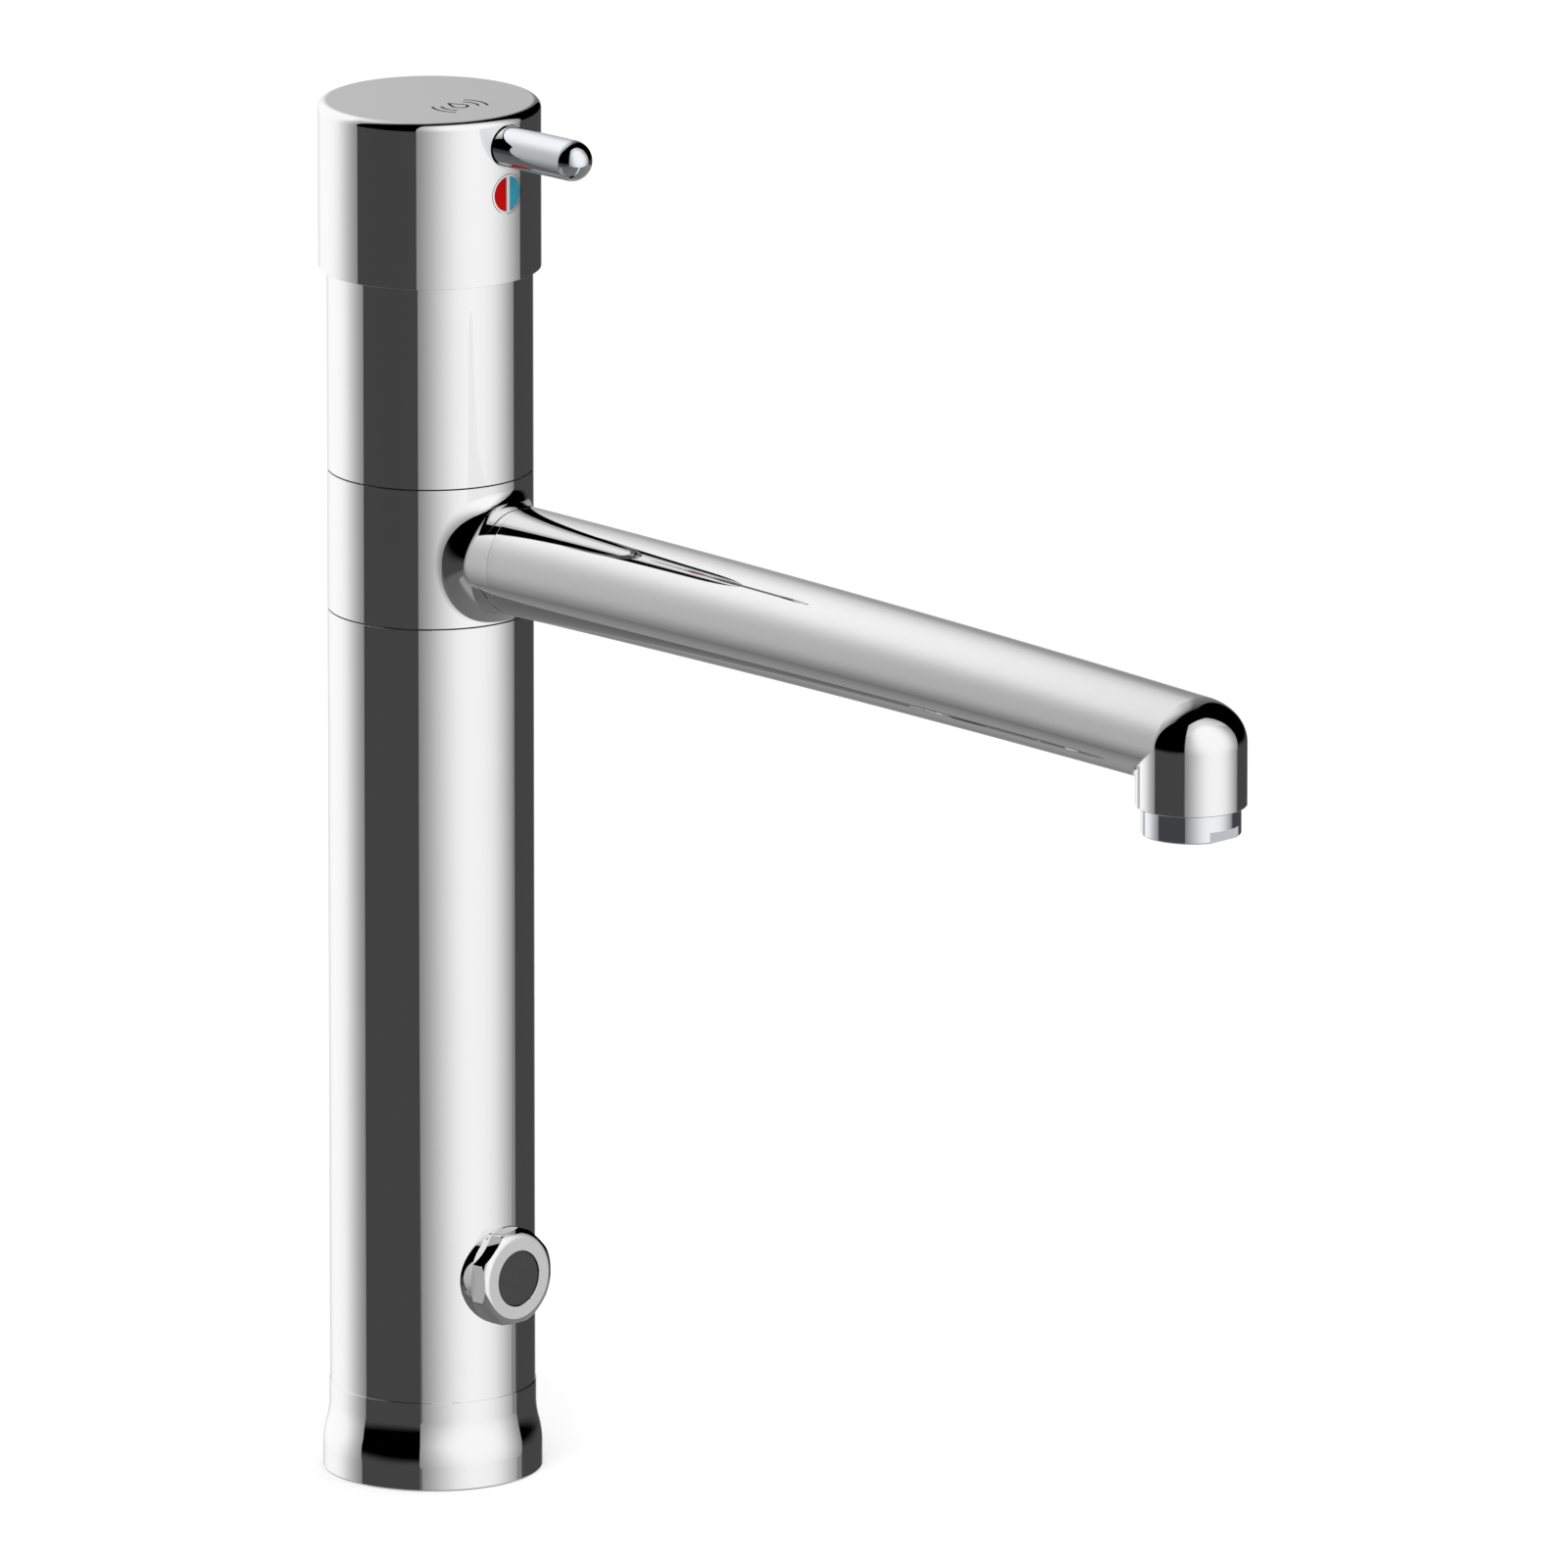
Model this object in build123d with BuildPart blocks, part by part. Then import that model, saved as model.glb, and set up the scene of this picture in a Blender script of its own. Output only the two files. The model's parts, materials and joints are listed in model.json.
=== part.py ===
from build123d import *
from math import acos, asin, cos, degrees, radians, sin, tan
import os

os.makedirs("parts", exist_ok=True)

# A basin tap with a touch-free sensor, in millimetres.
# The column's axis is Z, and its foot stands on Z = 0.
# The spout, the lever and the sensor point to -Y, hot is at -X and cold at +X.

# Fits
running_gap = 0.05      # radial gap between a turning or sliding piece and its bore
seat_gap = 0.05         # radial gap of a piece that is screwed or pushed into its seat
free_gap = 0.3          # gap between pieces that pass each other
overcut = 1.0           # how far a cut runs on past the face that it opens

# Column and foot
column_r = 25.0
column_wall = 2.5
lower_column_length = 193.4
upper_column_show = 50.0    # stretch that shows between the spout ring and the cap
flange_height = 21.6
foot_flare = 1.7        # how far the foot stands out from the column
foot_height = 5.6
neck_flare = 0.2        # the same at the flange's upper end
neck_height = 4.9
gasket_inset = 3.0      # from the foot's rim to the ring's inner edge
gasket_width = 1.8
gasket_height = 2.0
insert_height = 34.0
edge_break = 0.15       # small chamfer that makes a seam show

# Deck fixings and water inlets
stud_r = 4.0
stud_offset = 14.0
stud_depth = 18.0
inlet_r = 5.0
inlet_depth = 12.0
pipe_offset = 14.5
pipe_r = 4.0
pipe_wall = 1.0
pipe_socket_depth = 8.0
pipe_seal_wire = 1.8
cable_offset = 11.5
cable_hole_r = 3.2
cable_r = 1.6
grommet_length = 14.0
grommet_flange_r = 4.6
grommet_flange_height = 1.5

# Sensor
sensor_z = 52.0
sensor_stand_out = 5.0  # from the column's surface to the sensor's face
sensor_nut_r = 12.1
sensor_nut_flats = 8
sensor_collar_height = 0.4  # where the collar is thinnest
sensor_round = 1.6
sensor_face_r = 9.9
sensor_housing_r = 8.9
sensor_housing_wall = 1.3
sensor_housing_back = 3.0
sensor_shoulder_r = 11.5
sensor_shoulder_height = 3.0
sensor_saddle_height = 5.0
window_r = 6.85
window_lip = 1.5
window_recess = 0.3
window_flange_height = 1.2
board_height = 1.6
board_depth = 8.4       # from the sensor's face to the board
board_step_width = 1.0
diode_r = 2.0
diode_length = 4.6
diode_offset = 3.2
sensor_seal_width = 1.3
sensor_seal_height = 1.0

# Spout ring and its bearing
ring_height = 35.0
ring_wall = 5.0
seam_gap = 0.35
slip_ring_inset = 0.5   # from the column's bore to the slip ring's
slip_ring_width = 1.4
slip_ring_height = 1.0
core_spigot = 20.0
core_groove_depth = 1.65
chamber_height = 10.0
seal_offset = 9.5
seal_groove_height = 2.2
water_way_r = 3.0
mixed_way_r = 2.5
mixed_offset = 12.5
stop_pin_r = 1.0
stop_pin_offset = 21.0
stop_pin_drop = 3.5
stop_pin_hold = 6.0
spout_turn = 60.0       # degrees each way

# Spout
spout_drop = 0.75       # from the ring's middle to the spout's axis
spout_root_r = 13.74    # half the height that the tapered tube would have on the column's axis
spout_taper = 0.0102    # half height lost per millimetre of reach
spout_side_taper = 0.0004   # the same for half the width, so that the tube ends inside the nozzle
spout_droop = 7.57e-5   # sag per square millimetre of reach
spout_wall = 2.5
spout_neck_reach = 33.0
spout_neck_fillet = 2.8
spout_bore_start = 24.0     # reach at which the spout's full bore starts
spout_port_r = 4.5      # hole through the ring, between the two bearing seals
spout_reach = 257.5
nozzle_r = 13.4
nozzle_length = 15.23   # from the spout's axis to the mouth
nozzle_dome_rise = 0.1  # how far the dome's top stands above the tube
nozzle_dome_flat = 0.01 # how much of the dome's top is cut flat, which is too little to see
nozzle_wall = 1.9
nozzle_fillet = 1.5     # under the spout, where it meets the nozzle
aerator_r = 12.0
aerator_show = 6.9
aerator_thread_length = 4.0
aerator_wall = 1.4
aerator_lip = 1.0
aerator_flats = 22.0    # across the flats
aerator_flat_height = 2.7
aerator_seal_height = 1.2
regulator_holes = 6
regulator_hole_r = 1.2
mesh_height = 4.0
mesh_hole_r = 0.75
mesh_pitch = 2.3

# Cap, lever and hot and cold mark
cap_flare = 2.0         # how far the cap stands out from the column
cap_height = 41.0
cap_edge_round = 2.0
cap_top_wall = 3.0
cap_wall = 3.0
cap_turn = 45.0         # degrees each way
lever_drop = 7.2        # from the cap's top to the lever's axis
lever_r = 5.0
lever_reach = 53.8
lever_seat_r = 5.35
lever_seat_depth = 1.4
lever_shank_r = 2.5
lever_shank_length = 14.0
mark_drop = 19.0        # from the cap's top to the mark's centre
mark_r = 4.8
mark_rim = 0.5
mark_bar = 1.07
mark_depth = 1.8
mark_back = 0.5
guide_ring_height = 3.2
guide_ring_spigot = 4.0
guide_ring_wall = 2.0
engraving_depth = 0.25
engraving_width = 0.5
symbol_offset = 10.5    # from the cap's axis towards the user
drop_r = 2.2
drop_point_half_angle = 28.0
first_wave_r = 4.2
wave_step = 2.2
wave_count = 2
wave_half_angle = 38.0

# Temperature cartridge
seat_height = 12.0
transfer_height = 4.0
port_offset = 8.0
seat_screw_x = 9.5
seat_screw_y = 12.0
seat_screw_r = 2.0
seat_screw_head_r = 3.6
seat_screw_head_height = 3.8
seat_screw_hold = 11.0
cartridge_r = 17.4
cartridge_height = 30.0
cartridge_wall = 2.0
cartridge_top_wall = 4.0
cartridge_base_height = 3.0
cartridge_neck_r = 8.5
cartridge_neck_height = 11.0
cartridge_nut_height = 8.0
port_seal_wire = 1.6
port_seal_lip = 0.4
mixing_half_angle = 75.0
key_width = 5.0
key_depth = 3.0
fixed_disc_height = 4.0
moving_disc_height = 4.0
carrier_height = 6.0
carrier_rim = 0.75
carrier_grip = 3.0
stem_r = 6.0
stem_flange_r = 9.0
stem_seal_wire = 1.2
stem_seal_drop = 7.0
stem_groove_height = 1.4
spline_r = 4.2
spline_sides = 8
hub_web = 3.0
hub_r = 9.0
hub_flange_height = 4.0
lever_boss_width = 13.0
lever_boss_wall = 4.8
limit_ring_r = 12.5
limit_ring_height = 4.0
limit_lug_width = 6.0
limit_lug_reach = 17.6
limit_ridge_in_r = 14.0
limit_ridge_r = 18.0
limit_ridge_height = 3.5
adaptor_screw_r = 2.0
adaptor_screw_head_r = 3.5
adaptor_screw_head_height = 3.2
adaptor_screw_hold = 10.0

# Solenoid valve
valve_half_width = 10.0
valve_r = 21.5
valve_height = 19.0
valve_screw_x = 7.0
valve_screw_y = 11.5
valve_screw_r = 1.5
valve_screw_head_r = 2.6
valve_screw_head_height = 3.0
valve_screw_hold = 8.0
valve_seat_wall = 1.2
valve_chamber_r = 7.5
valve_chamber_height = 6.6
diaphragm_r = 8.5
diaphragm_height = 1.3
diaphragm_boss_r = 4.0
diaphragm_boss_height = 1.0
pilot_hole_r = 0.5
bonnet_height = 5.0
bonnet_r = 17.0
pilot_chamber_r = 6.5
pilot_chamber_height = 1.6
plunger_r = 3.5
plunger_length = 15.0
plunger_stroke = 1.8
plunger_tip_r = 2.0
plunger_tip_height = 2.5
plunger_tip_show = 1.0
sleeve_wall = 1.0
sleeve_length = 35.0
sleeve_floor = 2.0
spring_wire = 0.6
spring_bore_r = 2.2
spring_bore_depth = 8.0
yoke_plate = 1.8
yoke_half_width = 7.5
yoke_back = 11.0
yoke_front = 9.5
coil_r = 8.6
coil_height = 22.0
terminal_half_width = 4.0
terminal_reach = 13.0
terminal_height = 8.0
terminal_rise = 6.0
terminal_edge = 0.5     # from the terminal's front to the lead
coil_nut_r = 6.5
coil_nut_height = 4.5
lead_r = 1.3
lead_back = 15.0         # how far behind the axis the lead climbs
lead_rise = 36.0
lead_cross = 28.0

# Radii, reaches and heights that follow from the sizes
column_bore_r = column_r - column_wall
seated_r = column_bore_r - seat_gap
foot_r = column_r + foot_flare
neck_r = column_r + neck_flare
neck_start_z = flange_height - neck_height
gasket_in_r = foot_r - gasket_inset
sensor_reach = column_r + sensor_stand_out
sensor_collar_front = column_r + sensor_collar_height
sensor_shoulder_front = column_bore_r - sensor_saddle_height
board_front = sensor_reach - board_depth
ring_bore_r = column_r - ring_wall
slip_ring_in_r = column_bore_r + slip_ring_inset
cap_r = column_r + cap_flare
ring_bottom_z = flange_height + lower_column_length
ring_top_z = ring_bottom_z + ring_height
ring_mid_z = (ring_bottom_z + ring_top_z) / 2
spout_z = ring_mid_z - spout_drop
nozzle_dome_z = spout_z - spout_droop * spout_reach**2
nozzle_mouth_z = nozzle_dome_z - nozzle_length
cap_bottom_z = ring_top_z + upper_column_show
cap_top_z = cap_bottom_z + cap_height
cap_ceiling_z = cap_top_z - cap_top_wall
lever_z = cap_top_z - lever_drop
mark_z = cap_top_z - mark_drop
cap_step_z = mark_z - mark_r - 2 * free_gap
skirt_bore_r = column_r + free_gap
cap_bore_r = cap_r - cap_wall
guide_ring_top_z = cap_step_z - free_gap
column_top_z = guide_ring_top_z - guide_ring_height
core_bottom_z = ring_bottom_z - core_spigot
journal_r = ring_bore_r - running_gap
groove_floor_r = journal_r - core_groove_depth
seat_top_z = ring_top_z + seat_height
cartridge_top_z = seat_top_z + cartridge_height
cartridge_ceiling_z = cartridge_top_z - cartridge_top_wall
cartridge_bore_r = cartridge_r - cartridge_wall
neck_top_z = cartridge_top_z + cartridge_neck_height
nut_top_z = cartridge_top_z + cartridge_nut_height
fixed_disc_z = seat_top_z + cartridge_base_height
moving_disc_z = fixed_disc_z + fixed_disc_height + running_gap
carrier_z = moving_disc_z + moving_disc_height
stem_flange_z = carrier_z + carrier_height
hub_bottom_z = neck_top_z + 2 * free_gap
hub_top_z = lever_z - lever_shank_r - lever_boss_wall
valve_bottom_z = core_bottom_z - valve_height
bonnet_bottom_z = valve_bottom_z - bonnet_height
plunger_top_z = valve_bottom_z - running_gap - plunger_tip_show
plunger_bottom_z = plunger_top_z - plunger_length
sleeve_bottom_z = bonnet_bottom_z - sleeve_length
sleeve_bore_r = plunger_r + running_gap
sleeve_r = sleeve_bore_r + sleeve_wall
pole_top_z = plunger_bottom_z - plunger_stroke - free_gap
yoke_top_z = bonnet_bottom_z - valve_screw_head_height - free_gap
coil_top_z = yoke_top_z - yoke_plate
coil_bottom_z = coil_top_z - coil_height
yoke_bottom_z = coil_bottom_z - yoke_plate
terminal_z = coil_bottom_z + terminal_rise

# Places of what repeats
pipe_places = [(-pipe_offset, 0), (pipe_offset, 0)]
mixed_places = [(0, mixed_offset)]
port_places = [(-port_offset, 0), (port_offset, 0), (0, port_offset)]
sides = (-1, 1)
seat_screw_places = [(i * seat_screw_x, j * seat_screw_y) for i in sides for j in sides]
valve_screw_places = [(i * valve_screw_x, j * valve_screw_y) for i in sides for j in sides]


def facing(z):
    """A plane through the column's axis that faces the user, with X to the right and Z up."""
    return Plane(origin=(0, 0, z), x_dir=(1, 0, 0), z_dir=(0, -1, 0))


sensor_plane = facing(sensor_z)
lever_plane = facing(lever_z)
mark_plane = facing(mark_z)


def sector(inner_r, outer_r, middle, half, height, centre=(0, 0)):
    """A flat stretch of a ring at a height, half degrees to each side of the middle direction."""
    def rim(r, angle):
        return (r * cos(radians(angle)), r * sin(radians(angle)))

    with BuildSketch(Plane.XY.offset(height)) as area:
        with BuildLine() as outline:
            CenterArc((0, 0), outer_r, middle - half, 2 * half)
            Line(rim(outer_r, middle + half), rim(inner_r, middle + half))
            CenterArc((0, 0), inner_r, middle + half, -2 * half)
            Line(rim(inner_r, middle - half), rim(outer_r, middle - half))
        face = make_face(outline.line, mode=Mode.PRIVATE)
        with Locations(centre):
            add(face)
    return area.sketch


def tube(outer_r, inner_r, start, end, base=Plane.XY, places=((0, 0),)):
    """A round piece, or one at each place, from start to end along the base plane's normal."""
    with BuildPart() as piece:
        with BuildSketch(base.offset(start)):
            with Locations(*places):
                Circle(outer_r)
                if inner_r > 0:
                    Circle(inner_r, mode=Mode.SUBTRACT)
        extrude(amount=end - start)
    return piece


def cut_round(r, start, end, base=Plane.XY, places=((0, 0),)):
    """Cuts round holes into the piece that is being built."""
    with BuildSketch(base.offset(start)) as section:
        with Locations(*places):
            Circle(r)
    extrude(section.sketch, amount=end - start, mode=Mode.SUBTRACT)


def add_round(r, start, end, base=Plane.XY, places=((0, 0),)):
    """Adds round bosses to the piece that is being built."""
    with BuildSketch(base.offset(start)) as section:
        with Locations(*places):
            Circle(r)
    extrude(section.sketch, amount=end - start)


def cut_groove(floor_r, outer_r, start, end):
    """Cuts a ring-shaped groove about Z, from its floor out to outer_r."""
    with BuildSketch(Plane.XY.offset(start)) as section:
        Circle(outer_r)
        Circle(floor_r, mode=Mode.SUBTRACT)
    extrude(section.sketch, amount=end - start, mode=Mode.SUBTRACT)


def seal_rings(inner_r, wire, heights, places=((0, 0),)):
    """O-rings of one size, each lying flat, at every place and height."""
    with BuildPart() as rings:
        for height in heights:
            with Locations(*[(x, y, height) for x, y in places]):
                Torus(inner_r + wire / 2, wire / 2)
    return rings


def socket_screws(shank_r, head_r, head_height, shank_length, under_head_z, places, up=1):
    """Screws whose heads stand on one height; up is 1 with the head above and -1 with it below."""
    with BuildPart() as screws:
        add_round(shank_r, under_head_z - up * shank_length, under_head_z, places=places)
        add_round(head_r, under_head_z, under_head_z + up * head_height, places=places)
        with BuildSketch(Plane.XY.offset(under_head_z + up * head_height)):
            with Locations(*places):
                RegularPolygon(head_r / 2, 6)
        extrude(amount=-up * head_height / 2, mode=Mode.SUBTRACT)
    return screws


# Foot: flange, rubber ring against the deck, and the brass block that all fixings go into

ogee_middle = ((foot_r + neck_r) / 2, (foot_height + neck_start_z) / 2)
with BuildPart() as base_flange:
    with BuildSketch(Plane.XZ):
        with BuildLine():
            Polyline((neck_r, neck_start_z), (neck_r, flange_height), (column_bore_r, flange_height),
                     (column_bore_r, 0), (foot_r, 0), (foot_r, foot_height))
            TangentArc((foot_r, foot_height), ogee_middle, tangent=(0, 1))
            TangentArc((neck_r, neck_start_z), ogee_middle, tangent=(0, -1))
        make_face()
    revolve(axis=Axis.Z)
    cut_groove(gasket_in_r, gasket_in_r + gasket_width, 0, gasket_height)

deck_gasket = tube(gasket_in_r + gasket_width - seat_gap, gasket_in_r + seat_gap, 0, gasket_height)

cable_places = [(cable_offset, cable_offset)]
socket_floor_z = insert_height - pipe_socket_depth
with BuildPart() as base_insert:
    add_round(seated_r, 0, insert_height)
    chamfer(base_insert.edges().group_by(Axis.Z)[-1], column_wall / 4)
    cut_round(stud_r, 0, stud_depth, places=[(0, -stud_offset), (0, stud_offset)])
    cut_round(inlet_r, 0, inlet_depth, places=pipe_places)
    cut_round(water_way_r, inlet_depth, socket_floor_z, places=pipe_places)
    cut_round(pipe_r + seat_gap, socket_floor_z, insert_height, places=pipe_places)
    cut_round(pipe_r + seat_gap + pipe_seal_wire, socket_floor_z + pipe_seal_wire,
              socket_floor_z + 2 * pipe_seal_wire, places=pipe_places)
    cut_round(cable_hole_r, 0, insert_height, places=cable_places)

with BuildPart() as cable_grommet:
    add_round(cable_hole_r - seat_gap, insert_height - grommet_length, insert_height, places=cable_places)
    add_round(grommet_flange_r, insert_height, insert_height + grommet_flange_height, places=cable_places)
    cut_round(cable_r, insert_height - grommet_length, insert_height + grommet_flange_height,
              places=cable_places)

# Supply pipes, from the foot to the bearing core

pipe_end_z = core_bottom_z + pipe_socket_depth
hot_supply_pipe = tube(pipe_r, pipe_r - pipe_wall, socket_floor_z, pipe_end_z, places=[pipe_places[0]])
cold_supply_pipe = tube(pipe_r, pipe_r - pipe_wall, socket_floor_z, pipe_end_z, places=[pipe_places[1]])
pipe_seals = seal_rings(pipe_r, pipe_seal_wire,
                        [socket_floor_z + 1.5 * pipe_seal_wire, pipe_end_z - 1.5 * pipe_seal_wire],
                        places=pipe_places)

# Column tubes

with BuildPart() as lower_column:
    add_round(column_r, flange_height, ring_bottom_z)
    cut_round(column_bore_r, flange_height, ring_bottom_z)
    cut_round(sensor_housing_r + seat_gap, 0, 2 * column_r, base=sensor_plane)

upper_column = tube(column_r, column_bore_r, ring_top_z, column_top_z)

# Sensor head: collar, nut, seal, window, housing, saddle, board and its two diodes

nut_back = sensor_collar_front
lip_back = sensor_reach - window_lip
housing_front = lip_back - window_flange_height
housing_bore_r = sensor_housing_r - sensor_housing_wall
housing_floor = sensor_housing_back + sensor_housing_wall
board_back = board_front - board_height
window_hole_r = window_r + seat_gap
nut_thread_r = sensor_housing_r + seat_gap
seal_pocket_r = nut_thread_r + sensor_seal_width
seal_pocket_front = nut_back + sensor_seal_height

with BuildPart() as sensor_collar:
    add_round(sensor_nut_r, 0, sensor_collar_front, base=sensor_plane)
    chamfer(sensor_collar.edges().group_by(Axis.Y)[0], edge_break)
    cut_round(nut_thread_r, 0, sensor_collar_front, base=sensor_plane)
    cut_round(column_r + running_gap, 0, ring_bottom_z)

with BuildPart() as sensor_nut:
    with BuildSketch(Plane.XY.offset(sensor_z)):
        with BuildLine():
            Polyline((sensor_face_r, -sensor_reach), (window_hole_r, -sensor_reach),
                     (window_hole_r, -lip_back), (nut_thread_r, -lip_back),
                     (nut_thread_r, -seal_pocket_front), (seal_pocket_r, -seal_pocket_front),
                     (seal_pocket_r, -nut_back), (sensor_nut_r, -nut_back),
                     (sensor_nut_r, sensor_round - sensor_reach))
            TangentArc((sensor_face_r, -sensor_reach), (sensor_nut_r, sensor_round - sensor_reach),
                       tangent=(1, 0))
        make_face()
    revolve(axis=Axis((0, 0, sensor_z), (0, 1, 0)))
    with BuildSketch(sensor_plane.offset(nut_back)):
        RegularPolygon(sensor_nut_r, sensor_nut_flats, rotation=180 / sensor_nut_flats)
    extrude(amount=sensor_reach - nut_back, mode=Mode.INTERSECT)

sensor_seal = tube(seal_pocket_r - seat_gap, nut_thread_r, nut_back, seal_pocket_front, base=sensor_plane)

with BuildPart() as sensor_window:
    add_round(window_r, housing_front, sensor_reach - window_recess, base=sensor_plane)
    add_round(nut_thread_r - seat_gap, housing_front, lip_back, base=sensor_plane)

with BuildPart() as sensor_housing:
    add_round(sensor_housing_r, sensor_housing_back, housing_front, base=sensor_plane)
    add_round(sensor_shoulder_r, sensor_shoulder_front - sensor_shoulder_height, sensor_shoulder_front,
              base=sensor_plane)
    cut_round(housing_bore_r, board_back, housing_front, base=sensor_plane)
    cut_round(housing_bore_r - board_step_width, housing_floor, board_back, base=sensor_plane)
    cut_round(lead_r + seat_gap, sensor_housing_back, housing_floor, base=sensor_plane)

with BuildPart() as sensor_saddle:
    add_round(sensor_shoulder_r, sensor_shoulder_front, column_bore_r, base=sensor_plane)
    cut_round(nut_thread_r, sensor_shoulder_front, column_bore_r, base=sensor_plane)
    with BuildSketch():
        Circle(seated_r)
    extrude(amount=ring_bottom_z, mode=Mode.INTERSECT)

sensor_board = tube(housing_bore_r - seat_gap, 0, board_back, board_front, base=sensor_plane)


def diode(side):
    """A round-nosed diode that stands on the board, to the left (-1) or the right (1)."""
    with BuildPart() as piece:
        add_round(diode_r, board_front, board_front + diode_length - diode_r, base=sensor_plane,
                  places=[(side * diode_offset, 0)])
        with Locations((side * diode_offset, diode_r - board_front - diode_length, sensor_z)):
            Sphere(diode_r)
    return piece


infrared_emitter = diode(-1)
infrared_receiver = diode(1)

# Bearing core that the spout ring turns on, with its seals, slip rings and stop

seal_heights = [ring_mid_z - seal_offset, ring_mid_z + seal_offset]
pipe_seal_z = pipe_end_z - 2 * pipe_seal_wire
with BuildPart() as swivel_core:
    add_round(seated_r, core_bottom_z, ring_bottom_z)
    add_round(journal_r, ring_bottom_z, ring_top_z)
    cut_groove(groove_floor_r, ring_bore_r, ring_mid_z - chamber_height / 2, ring_mid_z + chamber_height / 2)
    for height in seal_heights:
        cut_groove(groove_floor_r, ring_bore_r, height - seal_groove_height / 2,
                   height + seal_groove_height / 2)
    cut_round(water_way_r, pipe_end_z, ring_top_z, places=pipe_places)
    cut_round(pipe_r + seat_gap, core_bottom_z, pipe_end_z, places=pipe_places)
    cut_round(pipe_r + seat_gap + pipe_seal_wire, pipe_seal_z, pipe_seal_z + pipe_seal_wire,
              places=pipe_places)
    cut_round(mixed_way_r, core_bottom_z, ring_top_z, places=mixed_places)
    cut_round(water_way_r, core_bottom_z, ring_mid_z)
    cut_round(water_way_r, 0, ring_bore_r, base=facing(ring_mid_z))
    cut_round(seat_screw_r, ring_top_z - seat_screw_hold, ring_top_z, places=seat_screw_places)
    cut_round(valve_screw_r, core_bottom_z, core_bottom_z + valve_screw_hold, places=valve_screw_places)

core_seals = seal_rings(groove_floor_r, core_groove_depth, seal_heights)

slip_ring_r = slip_ring_in_r + slip_ring_width
with BuildPart() as slip_rings:
    for start in (ring_bottom_z, ring_top_z - slip_ring_height):
        with BuildSketch(Plane.XY.offset(start)):
            Circle(slip_ring_r)
            Circle(slip_ring_in_r, mode=Mode.SUBTRACT)
        extrude(amount=slip_ring_height)

stop_pin_places = [(0, stop_pin_offset)]
stop_pin = tube(stop_pin_r, 0, ring_top_z - stop_pin_drop, ring_top_z + stop_pin_hold, places=stop_pin_places)

# Spout: ring with its neck, tapered tube with the nozzle, and the aerator


def spout_half_height(reach):
    return spout_root_r - spout_taper * reach


def spout_axis_z(reach):
    return spout_z - spout_droop * reach**2


def spout_section(reach, wall, slope):
    """An oval cross-section of the spout, square to its sagging axis."""
    square_to_axis = Plane(origin=(0, -reach, spout_axis_z(reach)), x_dir=(1, 0, 0), z_dir=(0, -1, -slope))
    with BuildSketch(square_to_axis) as area:
        Ellipse(nozzle_r - spout_side_taper * reach - wall, spout_half_height(reach) - wall)
    return area.sketch


def spout_sections(wall):
    """Sections from the neck, where the tube is level, to the middle of the nozzle."""
    step = (spout_reach - spout_neck_reach) / 3
    stations = [spout_neck_reach + step * i for i in range(4)]
    slopes = [0] + [2 * spout_droop * reach for reach in stations[1:]]
    return [spout_section(reach, wall, slope) for reach, slope in zip(stations, slopes)]


neck_plane = facing(spout_axis_z(spout_neck_reach))
spout_neck_r = spout_half_height(spout_neck_reach)
ring_end_low = ring_bottom_z + seam_gap
ring_end_high = ring_top_z - seam_gap
slot_r = stop_pin_offset + stop_pin_r + free_gap
slot_half_angle = spout_turn + degrees(asin((stop_pin_r + free_gap) / stop_pin_offset))
with BuildPart() as spout_ring:
    add_round(column_r, ring_end_low, ring_end_high)
    add_round(spout_neck_r, 0, spout_neck_reach, base=neck_plane)
    neck_root = spout_ring.edges().filter_by(GeomType.BSPLINE)
    fillet(neck_root, spout_neck_fillet)
    chamfer(spout_ring.edges().group_by(Axis.Y)[0], edge_break)
    cut_round(ring_bore_r, ring_end_low, ring_end_high)
    cut_round(spout_port_r, 0, spout_neck_reach, base=neck_plane)
    cut_round(spout_neck_r - spout_wall, spout_bore_start, spout_neck_reach, base=neck_plane)
    cut_groove(slip_ring_in_r - seat_gap, slip_ring_r + seat_gap, ring_end_low,
               ring_bottom_z + slip_ring_height + running_gap)
    cut_groove(slip_ring_in_r - seat_gap, slip_ring_r + seat_gap, ring_top_z - slip_ring_height - running_gap,
               ring_end_high)
    extrude(sector(ring_bore_r - overcut, slot_r, 90, slot_half_angle, ring_top_z - stop_pin_drop - free_gap),
            amount=stop_pin_drop, mode=Mode.SUBTRACT)

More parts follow.
